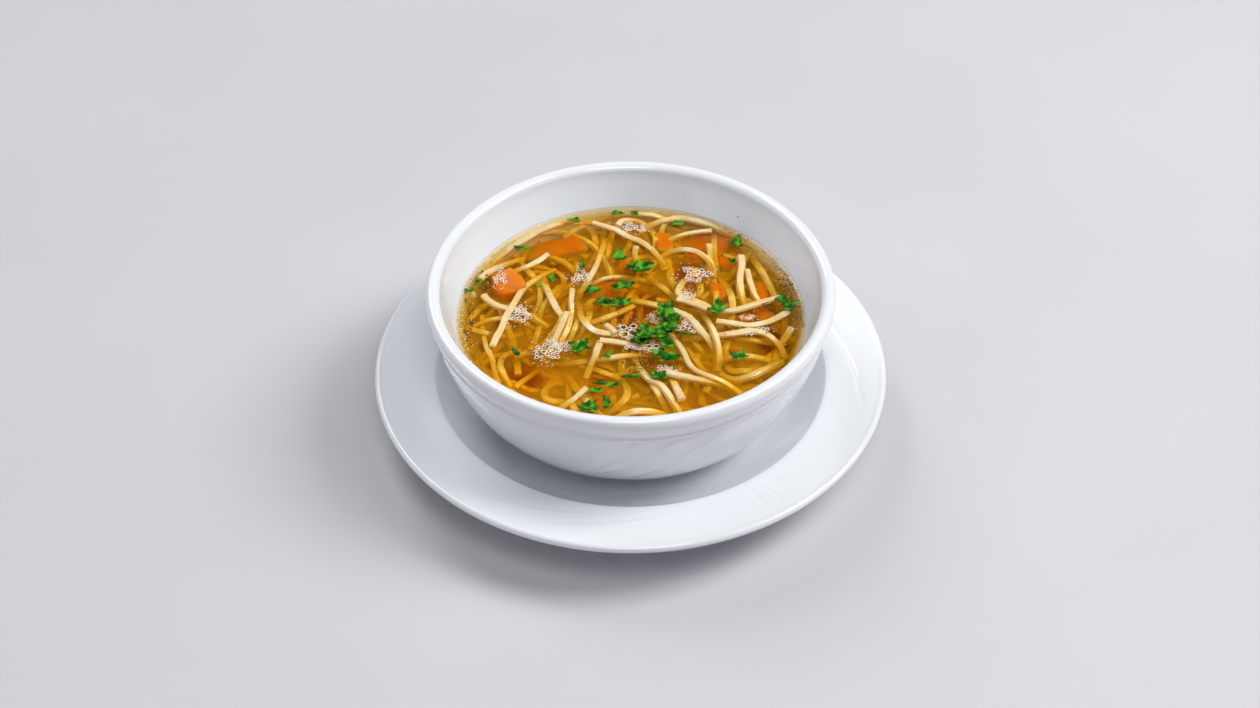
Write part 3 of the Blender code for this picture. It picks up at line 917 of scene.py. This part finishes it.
def make_core(material):
    """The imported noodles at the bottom: a lobed mound whose top is ridged like strands."""
    draws = np.random.default_rng(7)
    phases = draws.uniform(0, 2 * math.pi, (CORE_WAYS, 2))
    ways = np.column_stack([phases, draws.uniform(0, math.pi, CORE_WAYS)]).tolist()
    floor = FLOOR_Z + 0.4
    points = []
    for i in range(1, CORE_ROWS + 1):
        share = i / CORE_ROWS
        for k in range(CORE_COLUMNS):
            angle = 2 * math.pi * k / CORE_COLUMNS
            radius = share * (CORE_EDGE + 0.5 * math.cos(3 * angle + 0.6) + 0.4 * math.cos(5 * angle))
            x, y = radius * math.cos(angle), radius * math.sin(angle)
            z = floor + (core_top(x, y, ways) - floor) * (1 - share**7) ** 0.8
            points.append((x, y, max(z, inner_height(radius) + (0.35 if share < 1 else 0.3))))
    for x, y, _ in points[-CORE_COLUMNS:]:
        x, y = CORE_TUCK * x, CORE_TUCK * y
        points.append((x, y, max(FLOOR_Z + 0.35, inner_height(math.hypot(x, y)) + 0.3)))
    points += [(0, 0, SURFACE - CORE_TOP - 1.0), (0, 0, FLOOR_Z + 0.35)]
    faces = ring_body(CORE_ROWS + 1, CORE_COLUMNS)
    mesh_piece("noodle_core", points, faces, material, "noodles", ["noodles"])


BROTH_COLUMNS = 300
WALL_BITE = 0.15
MENISCUS_WIDTH = 2.2
MENISCUS_RISE = 0.55


def make_broth(material):
    """The broth up to its level, a hair into the wall, with a small meniscus where it meets the glaze."""
    edge = float(inner_radius(SURFACE))
    start = edge - MENISCUS_WIDTH
    profile = [(0.0, SURFACE)] + [(r, SURFACE) for r in np.linspace(2, start - 0.2, 40)]
    for share in np.linspace(0, 1, 9):
        profile.append((start + (MENISCUS_WIDTH + WALL_BITE) * share, SURFACE + MENISCUS_RISE * share**3))
    for radius in np.linspace(edge - 0.2, 10, 40):
        profile.append((radius + WALL_BITE, float(inner_height(radius)) - 0.12))
    profile.append((0.0, FLOOR_Z - 0.1))

    def swell(radius, height, angle):
        x, y = radius * np.cos(angle), radius * np.sin(angle)
        wave = 0.03 * np.sin(0.35 * x + 1.0) * np.sin(0.31 * y + 0.4) + 0.02 * np.sin(0.7 * x - 0.5 * y)
        return radius, height + np.where((height > SURFACE - 0.01) & (radius < edge - 3), wave, 0)

    mesh_piece("broth_clear", *revolve(profile, BROTH_COLUMNS, swell), material, "broth", ["broth"])


HAZE_DEPTHS = (2.2, 3.8, 5.8)
HAZE_COLUMNS = 120
GAP_HAZE = 3.0


def make_haze(material):
    """Bodies of cloudier broth, one within the other, whose wavy tops dim what lies deeper.

    In open water their tops lie deeper and their hearts are low, which thins them.
    """

    def waves(radius, height, angle):
        x, y = radius * np.cos(angle), radius * np.sin(angle)
        top = height > SURFACE - HAZE_DEPTHS[-1] - 0.01
        ripple = 0.35 * np.sin(0.21 * x + height) * np.sin(0.19 * y + 0.5 * height)
        return radius, height + top * (ripple - GAP_HAZE * openness(x, y, 1.0))

    layers = []
    for index, depth in enumerate(HAZE_DEPTHS):
        z = SURFACE - depth
        bite = 0.3 + 0.1 * index
        edge = float(inner_radius(z)) + bite
        profile = [(0.0, z)] + [(r, z) for r in np.linspace(4, edge, 24)]
        for r in np.linspace(edge - bite - 1.5, 10, 16):
            profile.append((r + bite, float(inner_height(r)) - bite))
        layers.append(revolve(profile + [(0.0, FLOOR_Z - bite)], HAZE_COLUMNS, waves))
    points, faces = joined(layers)
    hearts = 1 - 0.9 * openness(points[:, 0], points[:, 1])
    mesh_piece("broth_haze", points, faces, material, "broth", (), None, hearts)


# Carrots


CHUNK_CUTS = 9


def rotated(x, y, degrees):
    c, s = math.cos(math.radians(degrees)), math.sin(math.radians(degrees))
    return x * c - y * s, x * s + y * c


def chunk_mesh(centre, size, turn, tilt, seed, round_off=0.45):
    """A soft-edged cut chunk of carrot: points and faces."""
    shape = bmesh.new()
    bmesh.ops.create_cube(shape, size=2.0)
    bmesh.ops.subdivide_edges(shape, edges=shape.edges[:], cuts=CHUNK_CUTS, use_grid_fill=True)
    local = random.Random(seed)
    p, q, r = (local.uniform(0, 6) for _ in range(3))
    taper = local.uniform(0.8, 0.95)
    power = 2 / round_off
    points = []
    for vertex in shape.verts:
        x, y, z = vertex.co
        reach = (abs(x) ** power + abs(y) ** power + abs(z) ** power) ** (1 / power)
        x, y, z = x / reach, y / reach, z / reach
        x *= (taper if y > 0 else 1.0) * size[0] / 2
        y *= size[1] / 2
        z *= size[2] / 2
        bump = 0.18 * math.sin(0.9 * x + p) * math.sin(1.1 * y + q) + 0.1 * math.sin(2.3 * z + r + x)
        x, y, z = x * (1 + bump / 9), y * (1 + bump / 9), z + bump
        x, z = rotated(x, z, tilt)
        x, y = rotated(x, y, turn)
        points.append((centre[0] + x, centre[1] + y, centre[2] + z))
    faces = [tuple(v.index for v in face.verts) for face in shape.faces]
    shape.free()
    return np.array(points), faces


# Sunk pieces: centre in plan, depth of the middle, size across, along and thick, turn, tilt
SUNK_CARROTS = (
    ((-27, 36.5), 4.6, (25, 9.5, 5.0), 14, 6),
    ((12, 40), 2.6, (7.0, 11, 4.5), 8, -6),
    ((28, 39), 5.6, (20, 13, 6.0), -24, 10),
    ((36, 29), 5.8, (9, 10, 6.0), 20, 0),
    ((23, 30), 5.2, (8, 6, 5.0), 5, 0),
    ((46, 11), 3.8, (7, 12, 5.0), -12, 12),
    ((46.5, 0), 3.4, (6.5, 7.5, 4.5), 30, 0),
    ((-9.5, 13), 4.4, (11, 8, 4.0), 20, 0),
    ((-2, 26), 3.2, (5, 7.5, 4.0), 10, 0),
    ((40.5, -2.5), 3.0, (5.5, 4.5, 4.0), 0, 0),
    ((-10, -40), 3.8, (7.5, 6, 4.0), 30, 0),
    ((-9, -46), 3.8, (6, 5, 4.0), 50, 0),
    ((9, -30), 3.4, (6, 6, 4.0), 10, 0),
    ((31, 12), 3.6, (6, 9, 5.0), 10, 0),
)
CARROT_SINK = 2.2
CHUNK_SIZE = (12.0, 13.5, 8.0)
CHUNK_CENTRE = (-44.0, 18.5, 38.3)
CHUNK_TURN = 24.0


def make_carrots(fresh, painted_veil):
    """The chunk that breaks the surface, and the sunk pieces, whose hearts fade towards their edges and
    undersides, where their colour takes a painted amber veil of broth tint and shade.
    """
    chunk = chunk_mesh(CHUNK_CENTRE, CHUNK_SIZE, CHUNK_TURN, 8.0, 3, 0.4)
    mesh_piece("carrot_chunk", *chunk, fresh, "carrot", ["carrot"])
    sunk, hearts = [], []
    for index, ((x, y), depth, size, turn, tilt) in enumerate(SUNK_CARROTS):
        depth += CARROT_SINK
        centre = np.array((x, y + SIGHT_SHIFT * depth, SURFACE - depth))
        points, faces = chunk_mesh(centre, size, turn, tilt, 10 + index)
        # The heart falls off towards the edges and the lower half, which get the painted amber veil.
        away = np.hypot(points[:, 0] - centre[0], points[:, 1] - centre[1])
        reach = away / (0.5 * math.hypot(size[0], size[1]) * 0.86)
        lift = np.clip((points[:, 2] - centre[2]) / size[2] * 2, 0, 1)
        hearts.append(np.clip(1 - reach**2, 0, 1) ** 0.7 * (0.3 + 0.7 * lift))
        sunk.append((points, faces))
    mesh_piece("carrots_sunk", *joined(sunk), painted_veil, "carrot", (), None, np.concatenate(hearts))


# Parsley


LEAF_GROWTH = 1.22
LEAF_CURL = 1.0
LEAF_HALF_THICK = 0.12
LEAF_RINGS = 6
LEAF_SPOKES = 72


def leaf_mesh(place, size, turn, depth, lobes, seed):
    """A torn bit of flat-leaf parsley: an uneven toothed blade, folded along its vein, with two faces."""
    local = random.Random(seed)
    phase = [local.uniform(0, 6.28) for _ in range(5)]
    corners = [local.uniform(0.82, 1.08) for _ in range(lobes + 1)]
    fold = LEAF_CURL * local.uniform(0.5, 1.1)
    long, wide = size[0] / 2, size[1] / 2

    def outline(angle):
        corner = (angle / (2 * math.pi) * len(corners) + phase[0]) % len(corners)
        low = int(corner)
        share = float(smooth_step(corner - low))
        edge = corners[low] * (1 - share) + corners[(low + 1) % len(corners)] * share
        lobe = 1 - abs(math.sin(lobes * angle / 2 + phase[1]))
        tooth = 1 - abs(math.sin(9 * angle + phase[2]))
        box = (abs(math.cos(angle)) ** 3 + abs(math.sin(angle)) ** 3) ** (-1 / 3)
        return edge * box * (0.58 + 0.36 * lobe + 0.2 * tooth)

    def point(share, angle, side):
        edge = outline(angle)
        u, v = share * edge * math.cos(angle), share * edge * math.sin(angle)
        reach = math.hypot(u, v)
        ruffle = 0.16 * math.sin(4 * angle + phase[3]) * reach**2
        bend = LEAF_CURL * (0.4 * u * u + ruffle + 0.1 * math.sin(5 * u + phase[4]))
        lift = fold * abs(v) * wide * 0.5 + bend + side * (LEAF_HALF_THICK if share < 1 else 0.0)
        x, y = rotated(u * long, v * wide, turn)
        return place[0] + x, place[1] + y, SURFACE - depth + 0.1 + lift

    spokes = LEAF_SPOKES
    turns = [2 * math.pi * k / spokes for k in range(spokes)]
    points, faces = [], []
    for side in (1, -1):
        points.append(point(0.0, 0.0, side))
        for ring in range(1, LEAF_RINGS):
            points += [point(ring / LEAF_RINGS, angle, side) for angle in turns]
    edge_start = len(points)
    points += [point(1.0, angle, 0) for angle in turns]
    for layer in (0, 1):
        base = layer * edge_start // 2
        order = -1 if layer else 1
        for k in range(spokes):
            m = (k + 1) % spokes
            faces.append((base, base + 1 + k, base + 1 + m)[::order])
            for ring in range(LEAF_RINGS - 1):
                a = base + 1 + ring * spokes
                b = edge_start if ring == LEAF_RINGS - 2 else a + spokes
                faces.append((a + k, b + k, b + m, a + m)[::order])
    return np.array(points), faces


# Place, size along and across, turn, depth under the surface, lobes
PARSLEY = (
    ((-40, 36.5), (5.5, 2.4), 8, 0.2, 3),
    ((-28, 20), (3.4, 4.2), 30, 1.2, 4),
    ((-17.5, 25), (2.4, 5), 0, -0.6, 3),
    ((-13.5, 12), (6, 4.6), 15, 0.0, 4),
    ((-3, 14.5), (8, 5), 8, 0.0, 5),
    ((-9.5, 6), (5.5, 5), -20, 0.0, 4),
    ((-4, 5.5), (8, 5.4), 12, 0.0, 5),
    ((-4, 31), (5, 6.4), 20, 0.2, 4),
    ((0, 26), (4, 4), 10, 0.3, 4),
    ((4.5, 24.5), (8.4, 6), 24, -0.5, 4),
    ((17.5, 50.5), (5, 3.4), 0, 0.0, 4),
    ((39, 39.5), (4.4, 6.6), 0, 0.0, 3),
    ((37, 29), (2.8, 3.2), 0, 0.5, 4),
    ((30, 1), (5.6, 7), -30, -0.7, 4),
    ((53.2, 6.6), (4.6, 5), 10, -0.2, 4),
    ((55.8, 3), (4.4, 5.6), -20, -0.2, 4),
    ((-5, 57), (5, 2.4), 0, 0.0, 3),
    ((1.5, 57), (3, 2.6), 0, 0.0, 4),
    ((-21, 53), (5, 2), -6, 0.1, 3),
    ((12.5, -1.5), (7.5, 10), 12, -1.3, 5),
    ((13.5, -8), (7, 9), -10, -1.2, 5),
    ((7.5, -12), (13, 7), 10, -1.0, 6),
    ((3.5, -15), (6, 5.4), 30, -0.8, 4),
    ((12.5, -17), (5, 9), 20, -0.8, 5),
    ((13.3, -24), (7, 6), 10, -0.9, 5),
    ((9.5, -21.5), (5, 4.4), 10, -0.6, 4),
    ((18.5, -11.8), (7, 1.2), -10, -1.0, 3),
    ((-8, -23), (2.4, 4), -30, -0.7, 3),
    ((-17, -19), (7, 6.4), 20, -0.9, 4),
    ((37, -23), (6.2, 4.2), 22, -0.5, 4),
    ((-8, -36.5), (9, 2.4), -8, -0.2, 3),
    ((-11.5, -39.5), (5, 3), 5, 0.0, 4),
    ((-13.5, -48), (6.4, 5), -8, -0.2, 5),
    ((-8, -46), (2.6, 6), 0, 0.2, 3),
    ((0, -32.5), (8, 1.8), 5, 0.0, 3),
    ((9.5, -32.5), (6.6, 4.6), -18, -0.4, 4),
    ((-39, -21.5), (2.4, 5), 20, -0.6, 3),
    ((-54, 17), (2.6, 2), 30, 0.0, 3),
    ((-52.5, 21.5), (3.6, 1.6), -40, 0.0, 3),
    ((-57, 13), (3.4, 2), 20, 0.4, 4),
    ((-32.5, 15), (3, 1.6), 0, 0.0, 3),
)


def make_parsley(material):
    leaves = []
    for index, (place, size, turn, depth, lobes) in enumerate(PARSLEY):
        size = tuple(LEAF_GROWTH * side for side in size)
        leaves.append(leaf_mesh(place, size, turn, depth, lobes, 100 + index))
    mesh_piece("parsley", *joined(leaves), material, "herb")


# Foam


def turned(x, y, z, profile, spokes, peak=None):
    """A small turned skin on the liquid: closed by its peak and its foot, or without a peak a closed ring."""
    points = [] if peak is None else [(x, y, z + peak)]
    first = len(points)
    for reach, height in profile:
        for k in range(spokes):
            turn = 2 * math.pi * k / spokes
            points.append((x + reach * math.cos(turn), y + reach * math.sin(turn), z + height))
    faces = []
    rows = len(profile)
    for k in range(spokes):
        m = (k + 1) % spokes
        if peak is not None:
            faces.append((0, 1 + k, 1 + m))
        for ring in range(rows - 1 if peak is not None else rows):
            a, b = first + ring * spokes, first + (ring + 1) % rows * spokes
            faces.append((a + k, b + k, b + m, a + m))
    if peak is not None:
        faces.append(tuple(first + (rows - 1) * spokes + k for k in range(spokes - 1, -1, -1)))
    return np.array(points), faces


def dome_mesh(x, y, z, radius, rings=2, spokes=8):
    """A low cap on the liquid: a bubble's roof, a fleck of foam or a droplet of fat."""
    angles = [math.radians(84) * (ring + 1) / rings for ring in range(rings)]
    profile = [(radius * math.sin(a), 0.7 * radius * math.cos(a)) for a in angles]
    return turned(x, y, z, profile + [(0.8 * radius, -0.25 * radius)], spokes, 0.7 * radius)


def ring_mesh(x, y, z, radius, spokes=14):
    """The thick foot of a bubble's film: a ring."""
    thick = RING_THICK + 0.05 * radius
    turns = [2 * math.pi * k / 6 for k in range(6)]
    return turned(x, y, z, [(radius + thick * math.cos(a), thick * math.sin(a)) for a in turns], spokes)


# Patches of foam: centre, half size along x and y, largest radius, share of the patch that is filled
FOAM = (
    ((1, 48.5), (4.6, 2.8), 0.8, 0.8),
    ((23, 21.5), (5.6, 4.8), 1.1, 1.0),
    ((20, 10), (2.6, 2.4), 0.7, 0.5),
    ((-46.5, 20), (2.6, 4.4), 0.8, 0.9),
    ((-18, 21), (3.8, 4.4), 0.8, 0.5),
    ((-39, 0), (4.6, 4.4), 0.9, 0.9),
    ((-28, -19), (5.4, 5.4), 0.9, 1.0),
    ((-22, -17), (5.0, 2.6), 0.6, 0.4),
    ((0, -9.5), (4.6, 4.6), 1.8, 1.0),
    ((2, -17), (4.0, 2.6), 0.7, 0.4),
    ((20, -6), (3.8, 4.2), 1.0, 0.6),
    ((9, -2.5), (2.6, 2.4), 0.8, 0.7),
    ((8, -17.5), (2.6, 2.4), 1.2, 0.9),
    ((40, -9), (3.6, 2.0), 0.6, 0.5),
    ((46, -8.5), (2.4, 1.4), 0.6, 0.3),
    ((12, -29), (3.4, 2.0), 0.8, 0.8),
    ((41, -2), (2.6, 1.2), 0.6, 0.4),
)
FOAM_TRIES = 300
FOAM_SMALLEST = 0.64
FOAM_SPACING = 0.04
FOAM_LIFT = 0.12
FOAM_FRINGE = 60
RING_THICK = 0.09
ROOF_SMALLEST = 0.9
# The soup's edge, dotted with small bubbles and fat: first and last angle in degrees, number of each
EDGE_DOTS = (
    (-8, 34, 30, 230),
    (150, 205, 50, 150),
    (206, 240, 20, 60),
    (34, 70, 10, 80),
    (70, 150, 5, 60),
    (240, 352, 6, 40),
)
EDGE_R = 60.3
EDGE_SPREAD = 2.6
EDGE_DOT_SIZES = (0.12, 0.26)
EDGE_DROPLET_SIZES = (0.14, 0.36)
FRINGE_REACH = (0.95, 1.6)
FRINGE_DOT_SIZES = (0.12, 0.22)
FRINGE_DROPLET_SIZES = (0.12, 0.3)


def foam_patch(place, half, largest, filled):
    """Bubbles packed side by side: a few large ones first, then smaller ones in the gaps."""
    kept = []
    phase = rng.uniform(0, 6.28)
    for attempt in range(int(FOAM_TRIES * filled)):
        reach, turn = rng.random() ** 0.6, rng.uniform(0, 2 * math.pi)
        reach *= 0.8 + 0.22 * math.sin(3 * turn + phase) + 0.12 * math.sin(5 * turn + 2 * phase)
        x = place[0] + half[0] * reach * math.cos(turn)
        y = place[1] + half[1] * reach * math.sin(turn)
        shrunk = largest * (1 - 0.35 * reach) * 0.965 ** (attempt / 6)
        radius = max(shrunk, FOAM_SMALLEST) * rng.uniform(0.8, 1.1)
        if all(math.hypot(x - a, y - b) > radius + r + FOAM_SPACING for a, b, r in kept):
            kept.append((x, y, radius))
    return kept


def make_foam(film, white_foam, fat):
    """The patches of foam, then the dots and droplets along the soup's edge and round each patch."""
    roofs, bubbles, droplets = [], [], []
    for patch in FOAM:
        for x, y, radius in foam_patch(*patch):
            bubbles.append(ring_mesh(x, y, SURFACE + FOAM_LIFT, radius))
            if radius > ROOF_SMALLEST:
                roofs.append(dome_mesh(x, y, SURFACE + FOAM_LIFT, radius, 3, 14))
    for start, end, white, clear in EDGE_DOTS:
        for index in range(white + clear):
            turn = math.radians(rng.uniform(start, end))
            reach = EDGE_R - abs(rng.gauss(0, EDGE_SPREAD))
            x, y = reach * math.cos(turn), reach * math.sin(turn)
            if index < white:
                bubbles.append(dome_mesh(x, y, SURFACE, rng.uniform(*EDGE_DOT_SIZES)))
            else:
                droplets.append(dome_mesh(x, y, SURFACE, rng.uniform(*EDGE_DROPLET_SIZES)))
    for (x, y), (wide, deep), _, filled in FOAM:
        for index in range(int(FOAM_FRINGE * filled)):
            reach, turn = rng.uniform(*FRINGE_REACH), rng.uniform(0, 2 * math.pi)
            spot = (x + wide * reach * math.cos(turn), y + deep * reach * math.sin(turn), SURFACE)
            if index % 3:
                bubbles.append(dome_mesh(*spot, rng.uniform(*FRINGE_DOT_SIZES)))
            else:
                droplets.append(dome_mesh(*spot, rng.uniform(*FRINGE_DROPLET_SIZES)))
    mesh_piece("foam_roofs", *joined(roofs), film, "foam")
    mesh_piece("foam_rings", *joined(bubbles), white_foam, "foam")
    mesh_piece("fat_droplets", *joined(droplets), fat, "foam")


# Small dark specks on the surface: centre, spread along x and y, number
SPECKS = (
    ((55.5, 12), (3.6, 14.0), 190),
    ((-56, -6), (2.4, 12.0), 70),
    ((-52, 16), (3.0, 7.0), 40),
    ((4, -26), (6.0, 4.0), 90),
    ((23, 18), (7.0, 6.0), 46),
    ((-28, -20), (8.0, 6.0), 60),
    ((-39, 0), (6.0, 5.0), 40),
    ((42, -6), (8.0, 6.0), 46),
    ((0, -8), (6.0, 6.0), 40),
    ((33, -7), (0.8, 0.6), 8),
    ((47, 3), (5.0, 3.0), 40),
    ((0, 0), (40.0, 38.0), 150),
)
SPECK_SIZE = (0.16, 0.38)
WALL_SPECK_TURN = 51
WALL_SPECK_RISE = 5.0
WALL_SPECK_SIZE = 0.45


def speck_mesh(x, y, z, radius):
    """A tiny flattened grain with uneven corners."""
    points = [(x, y, z + 0.6 * radius), (x, y, z - 0.6 * radius)]
    turn = rng.uniform(0, 6.28)
    for k in range(5):
        reach = radius * rng.uniform(0.7, 1.3)
        points.append((x + reach * math.cos(turn + k * 1.257), y + reach * math.sin(turn + k * 1.257), z))
    faces = []
    for k in range(5):
        m = (k + 1) % 5
        faces += [(0, 2 + k, 2 + m), (1, 2 + m, 2 + k)]
    return np.array(points), faces


def make_specks(material):
    grains = []
    for (x, y), (wide, deep), count in SPECKS:
        for _ in range(count):
            place = (x + rng.gauss(0, 0.5) * wide, y + rng.gauss(0, 0.5) * deep)
            if math.hypot(*place) < EDGE_R:
                grains.append(speck_mesh(*place, SURFACE + 0.05, rng.uniform(*SPECK_SIZE)))
    # One on the bowl's inner wall, at the back.
    turn, height = math.radians(WALL_SPECK_TURN), SURFACE + WALL_SPECK_RISE
    reach = float(inner_radius(height)) - 0.05
    grains.append(speck_mesh(reach * math.cos(turn), reach * math.sin(turn), height, WALL_SPECK_SIZE))
    mesh_piece("specks", *joined(grains), material, "speck")


def make_soup():
    dough = noodle_material()
    make_core(dough)
    make_noodles(dough)
    make_broth(broth_material())
    make_haze(haze_material())
    make_carrots(carrot_material("carrot_flesh", False), carrot_material("carrot_steeped", True))
    make_parsley(parsley_material())
    make_foam(bubble_material(), foam_material(), fat_material())
    make_specks(speck_material())


# Stage, light and camera


CAMERA_PITCH = 42.16
CAMERA_AT = Vector((-0.0002, -0.4757, 0.454))
CAMERA_LENS = 51.43


def area_light(name, place, size, power, colour, aim=(0, 0, 0.03)):
    light = bpy.data.lights.new(name, "AREA")
    light.shape = "RECTANGLE"
    light.size, light.size_y = size
    light.energy = power
    light.color = colour
    obj = bpy.data.objects.new(name, light)
    obj.location = place
    obj.rotation_euler = (Vector(aim) - Vector(place)).to_track_quat("-Z", "Y").to_euler()
    bpy.context.scene.collection.objects.link(obj)


# Soft patches of the sky: the way each faces, how tight it is, its strength
SKY_LOBES = (((0.0, 0.0, 1.0), 3.0, 0.05), ((-0.94, 0.0, 0.33), 4.0, 0.72))
SKY_EVEN = 0.02
SKY_TONE = (0.96, 0.975, 1.0, 1)
FLOOR_HALF = 3.0
AREA_LIGHTS = (
    ("key", (1.547, 0.232, 1.547), (0.9, 0.9), 30.5, (1.0, 0.99, 0.98)),
    ("high_right", (1.098, 0.146, 1.904), (0.9, 0.9), 8.0, (1.0, 0.99, 0.98)),
    ("back_left", (-0.817, 1.225, 1.634), (0.9, 0.9), 14.5, (0.97, 0.98, 1.0)),
    ("front_top", (0.166, -0.913, 1.995), (0.9, 0.9), 13.5, (0.97, 0.98, 1.0)),
)


def make_sky(scene):
    """Studio light from all round: soft lobes on a faint even tone."""
    world = bpy.data.worlds.new("studio")
    world.use_nodes = True
    nodes, links = world.node_tree.nodes, world.node_tree.links

    def step(kind, operation, first, second):
        node = nodes.new("ShaderNode" + kind)
        node.operation = operation
        for socket, value in zip(node.inputs, (first, second)):
            if isinstance(value, bpy.types.NodeSocket):
                links.new(value, socket)
            else:
                socket.default_value = value
        return node.outputs["Value"]

    way = nodes.new("ShaderNodeTexCoord").outputs["Generated"]
    total = SKY_EVEN
    for axis, tightness, strength in SKY_LOBES:
        facing = step("Math", "MAXIMUM", step("VectorMath", "DOT_PRODUCT", way, axis), 0.0)
        lobe = step("Math", "MULTIPLY", step("Math", "POWER", facing, tightness), strength)
        total = step("Math", "ADD", lobe, total)
    background = nodes["Background"]
    background.inputs["Color"].default_value = SKY_TONE
    links.new(total, background.inputs["Strength"])
    scene.world = world


def make_stage():
    """The camera at the photo's place, a plain floor and the light."""
    scene = bpy.context.scene
    camera = bpy.data.cameras.new("camera")
    camera.lens = CAMERA_LENS
    camera.sensor_width = 36.0
    camera.clip_start = 0.01
    holder = bpy.data.objects.new("camera", camera)
    holder.location = CAMERA_AT
    holder.rotation_euler = (math.radians(90 - CAMERA_PITCH), 0, 0)
    scene.collection.objects.link(holder)
    scene.camera = holder
    mesh = bpy.data.meshes.new("floor")
    shape = bmesh.new()
    bmesh.ops.create_grid(shape, x_segments=1, y_segments=1, size=FLOOR_HALF)
    shape.to_mesh(mesh)
    shape.free()
    mesh.materials.append(plain_material("floor_plain", (0.62, 0.60, 0.638), 0.7))
    floor = bpy.data.objects.new("floor", mesh)
    scene.collection.objects.link(floor)
    make_sky(scene)
    for light in AREA_LIGHTS:
        area_light(*light)
    scene.view_settings.view_transform = "Standard"


make_stage()
make_dishes(porcelain_material())
make_soup()
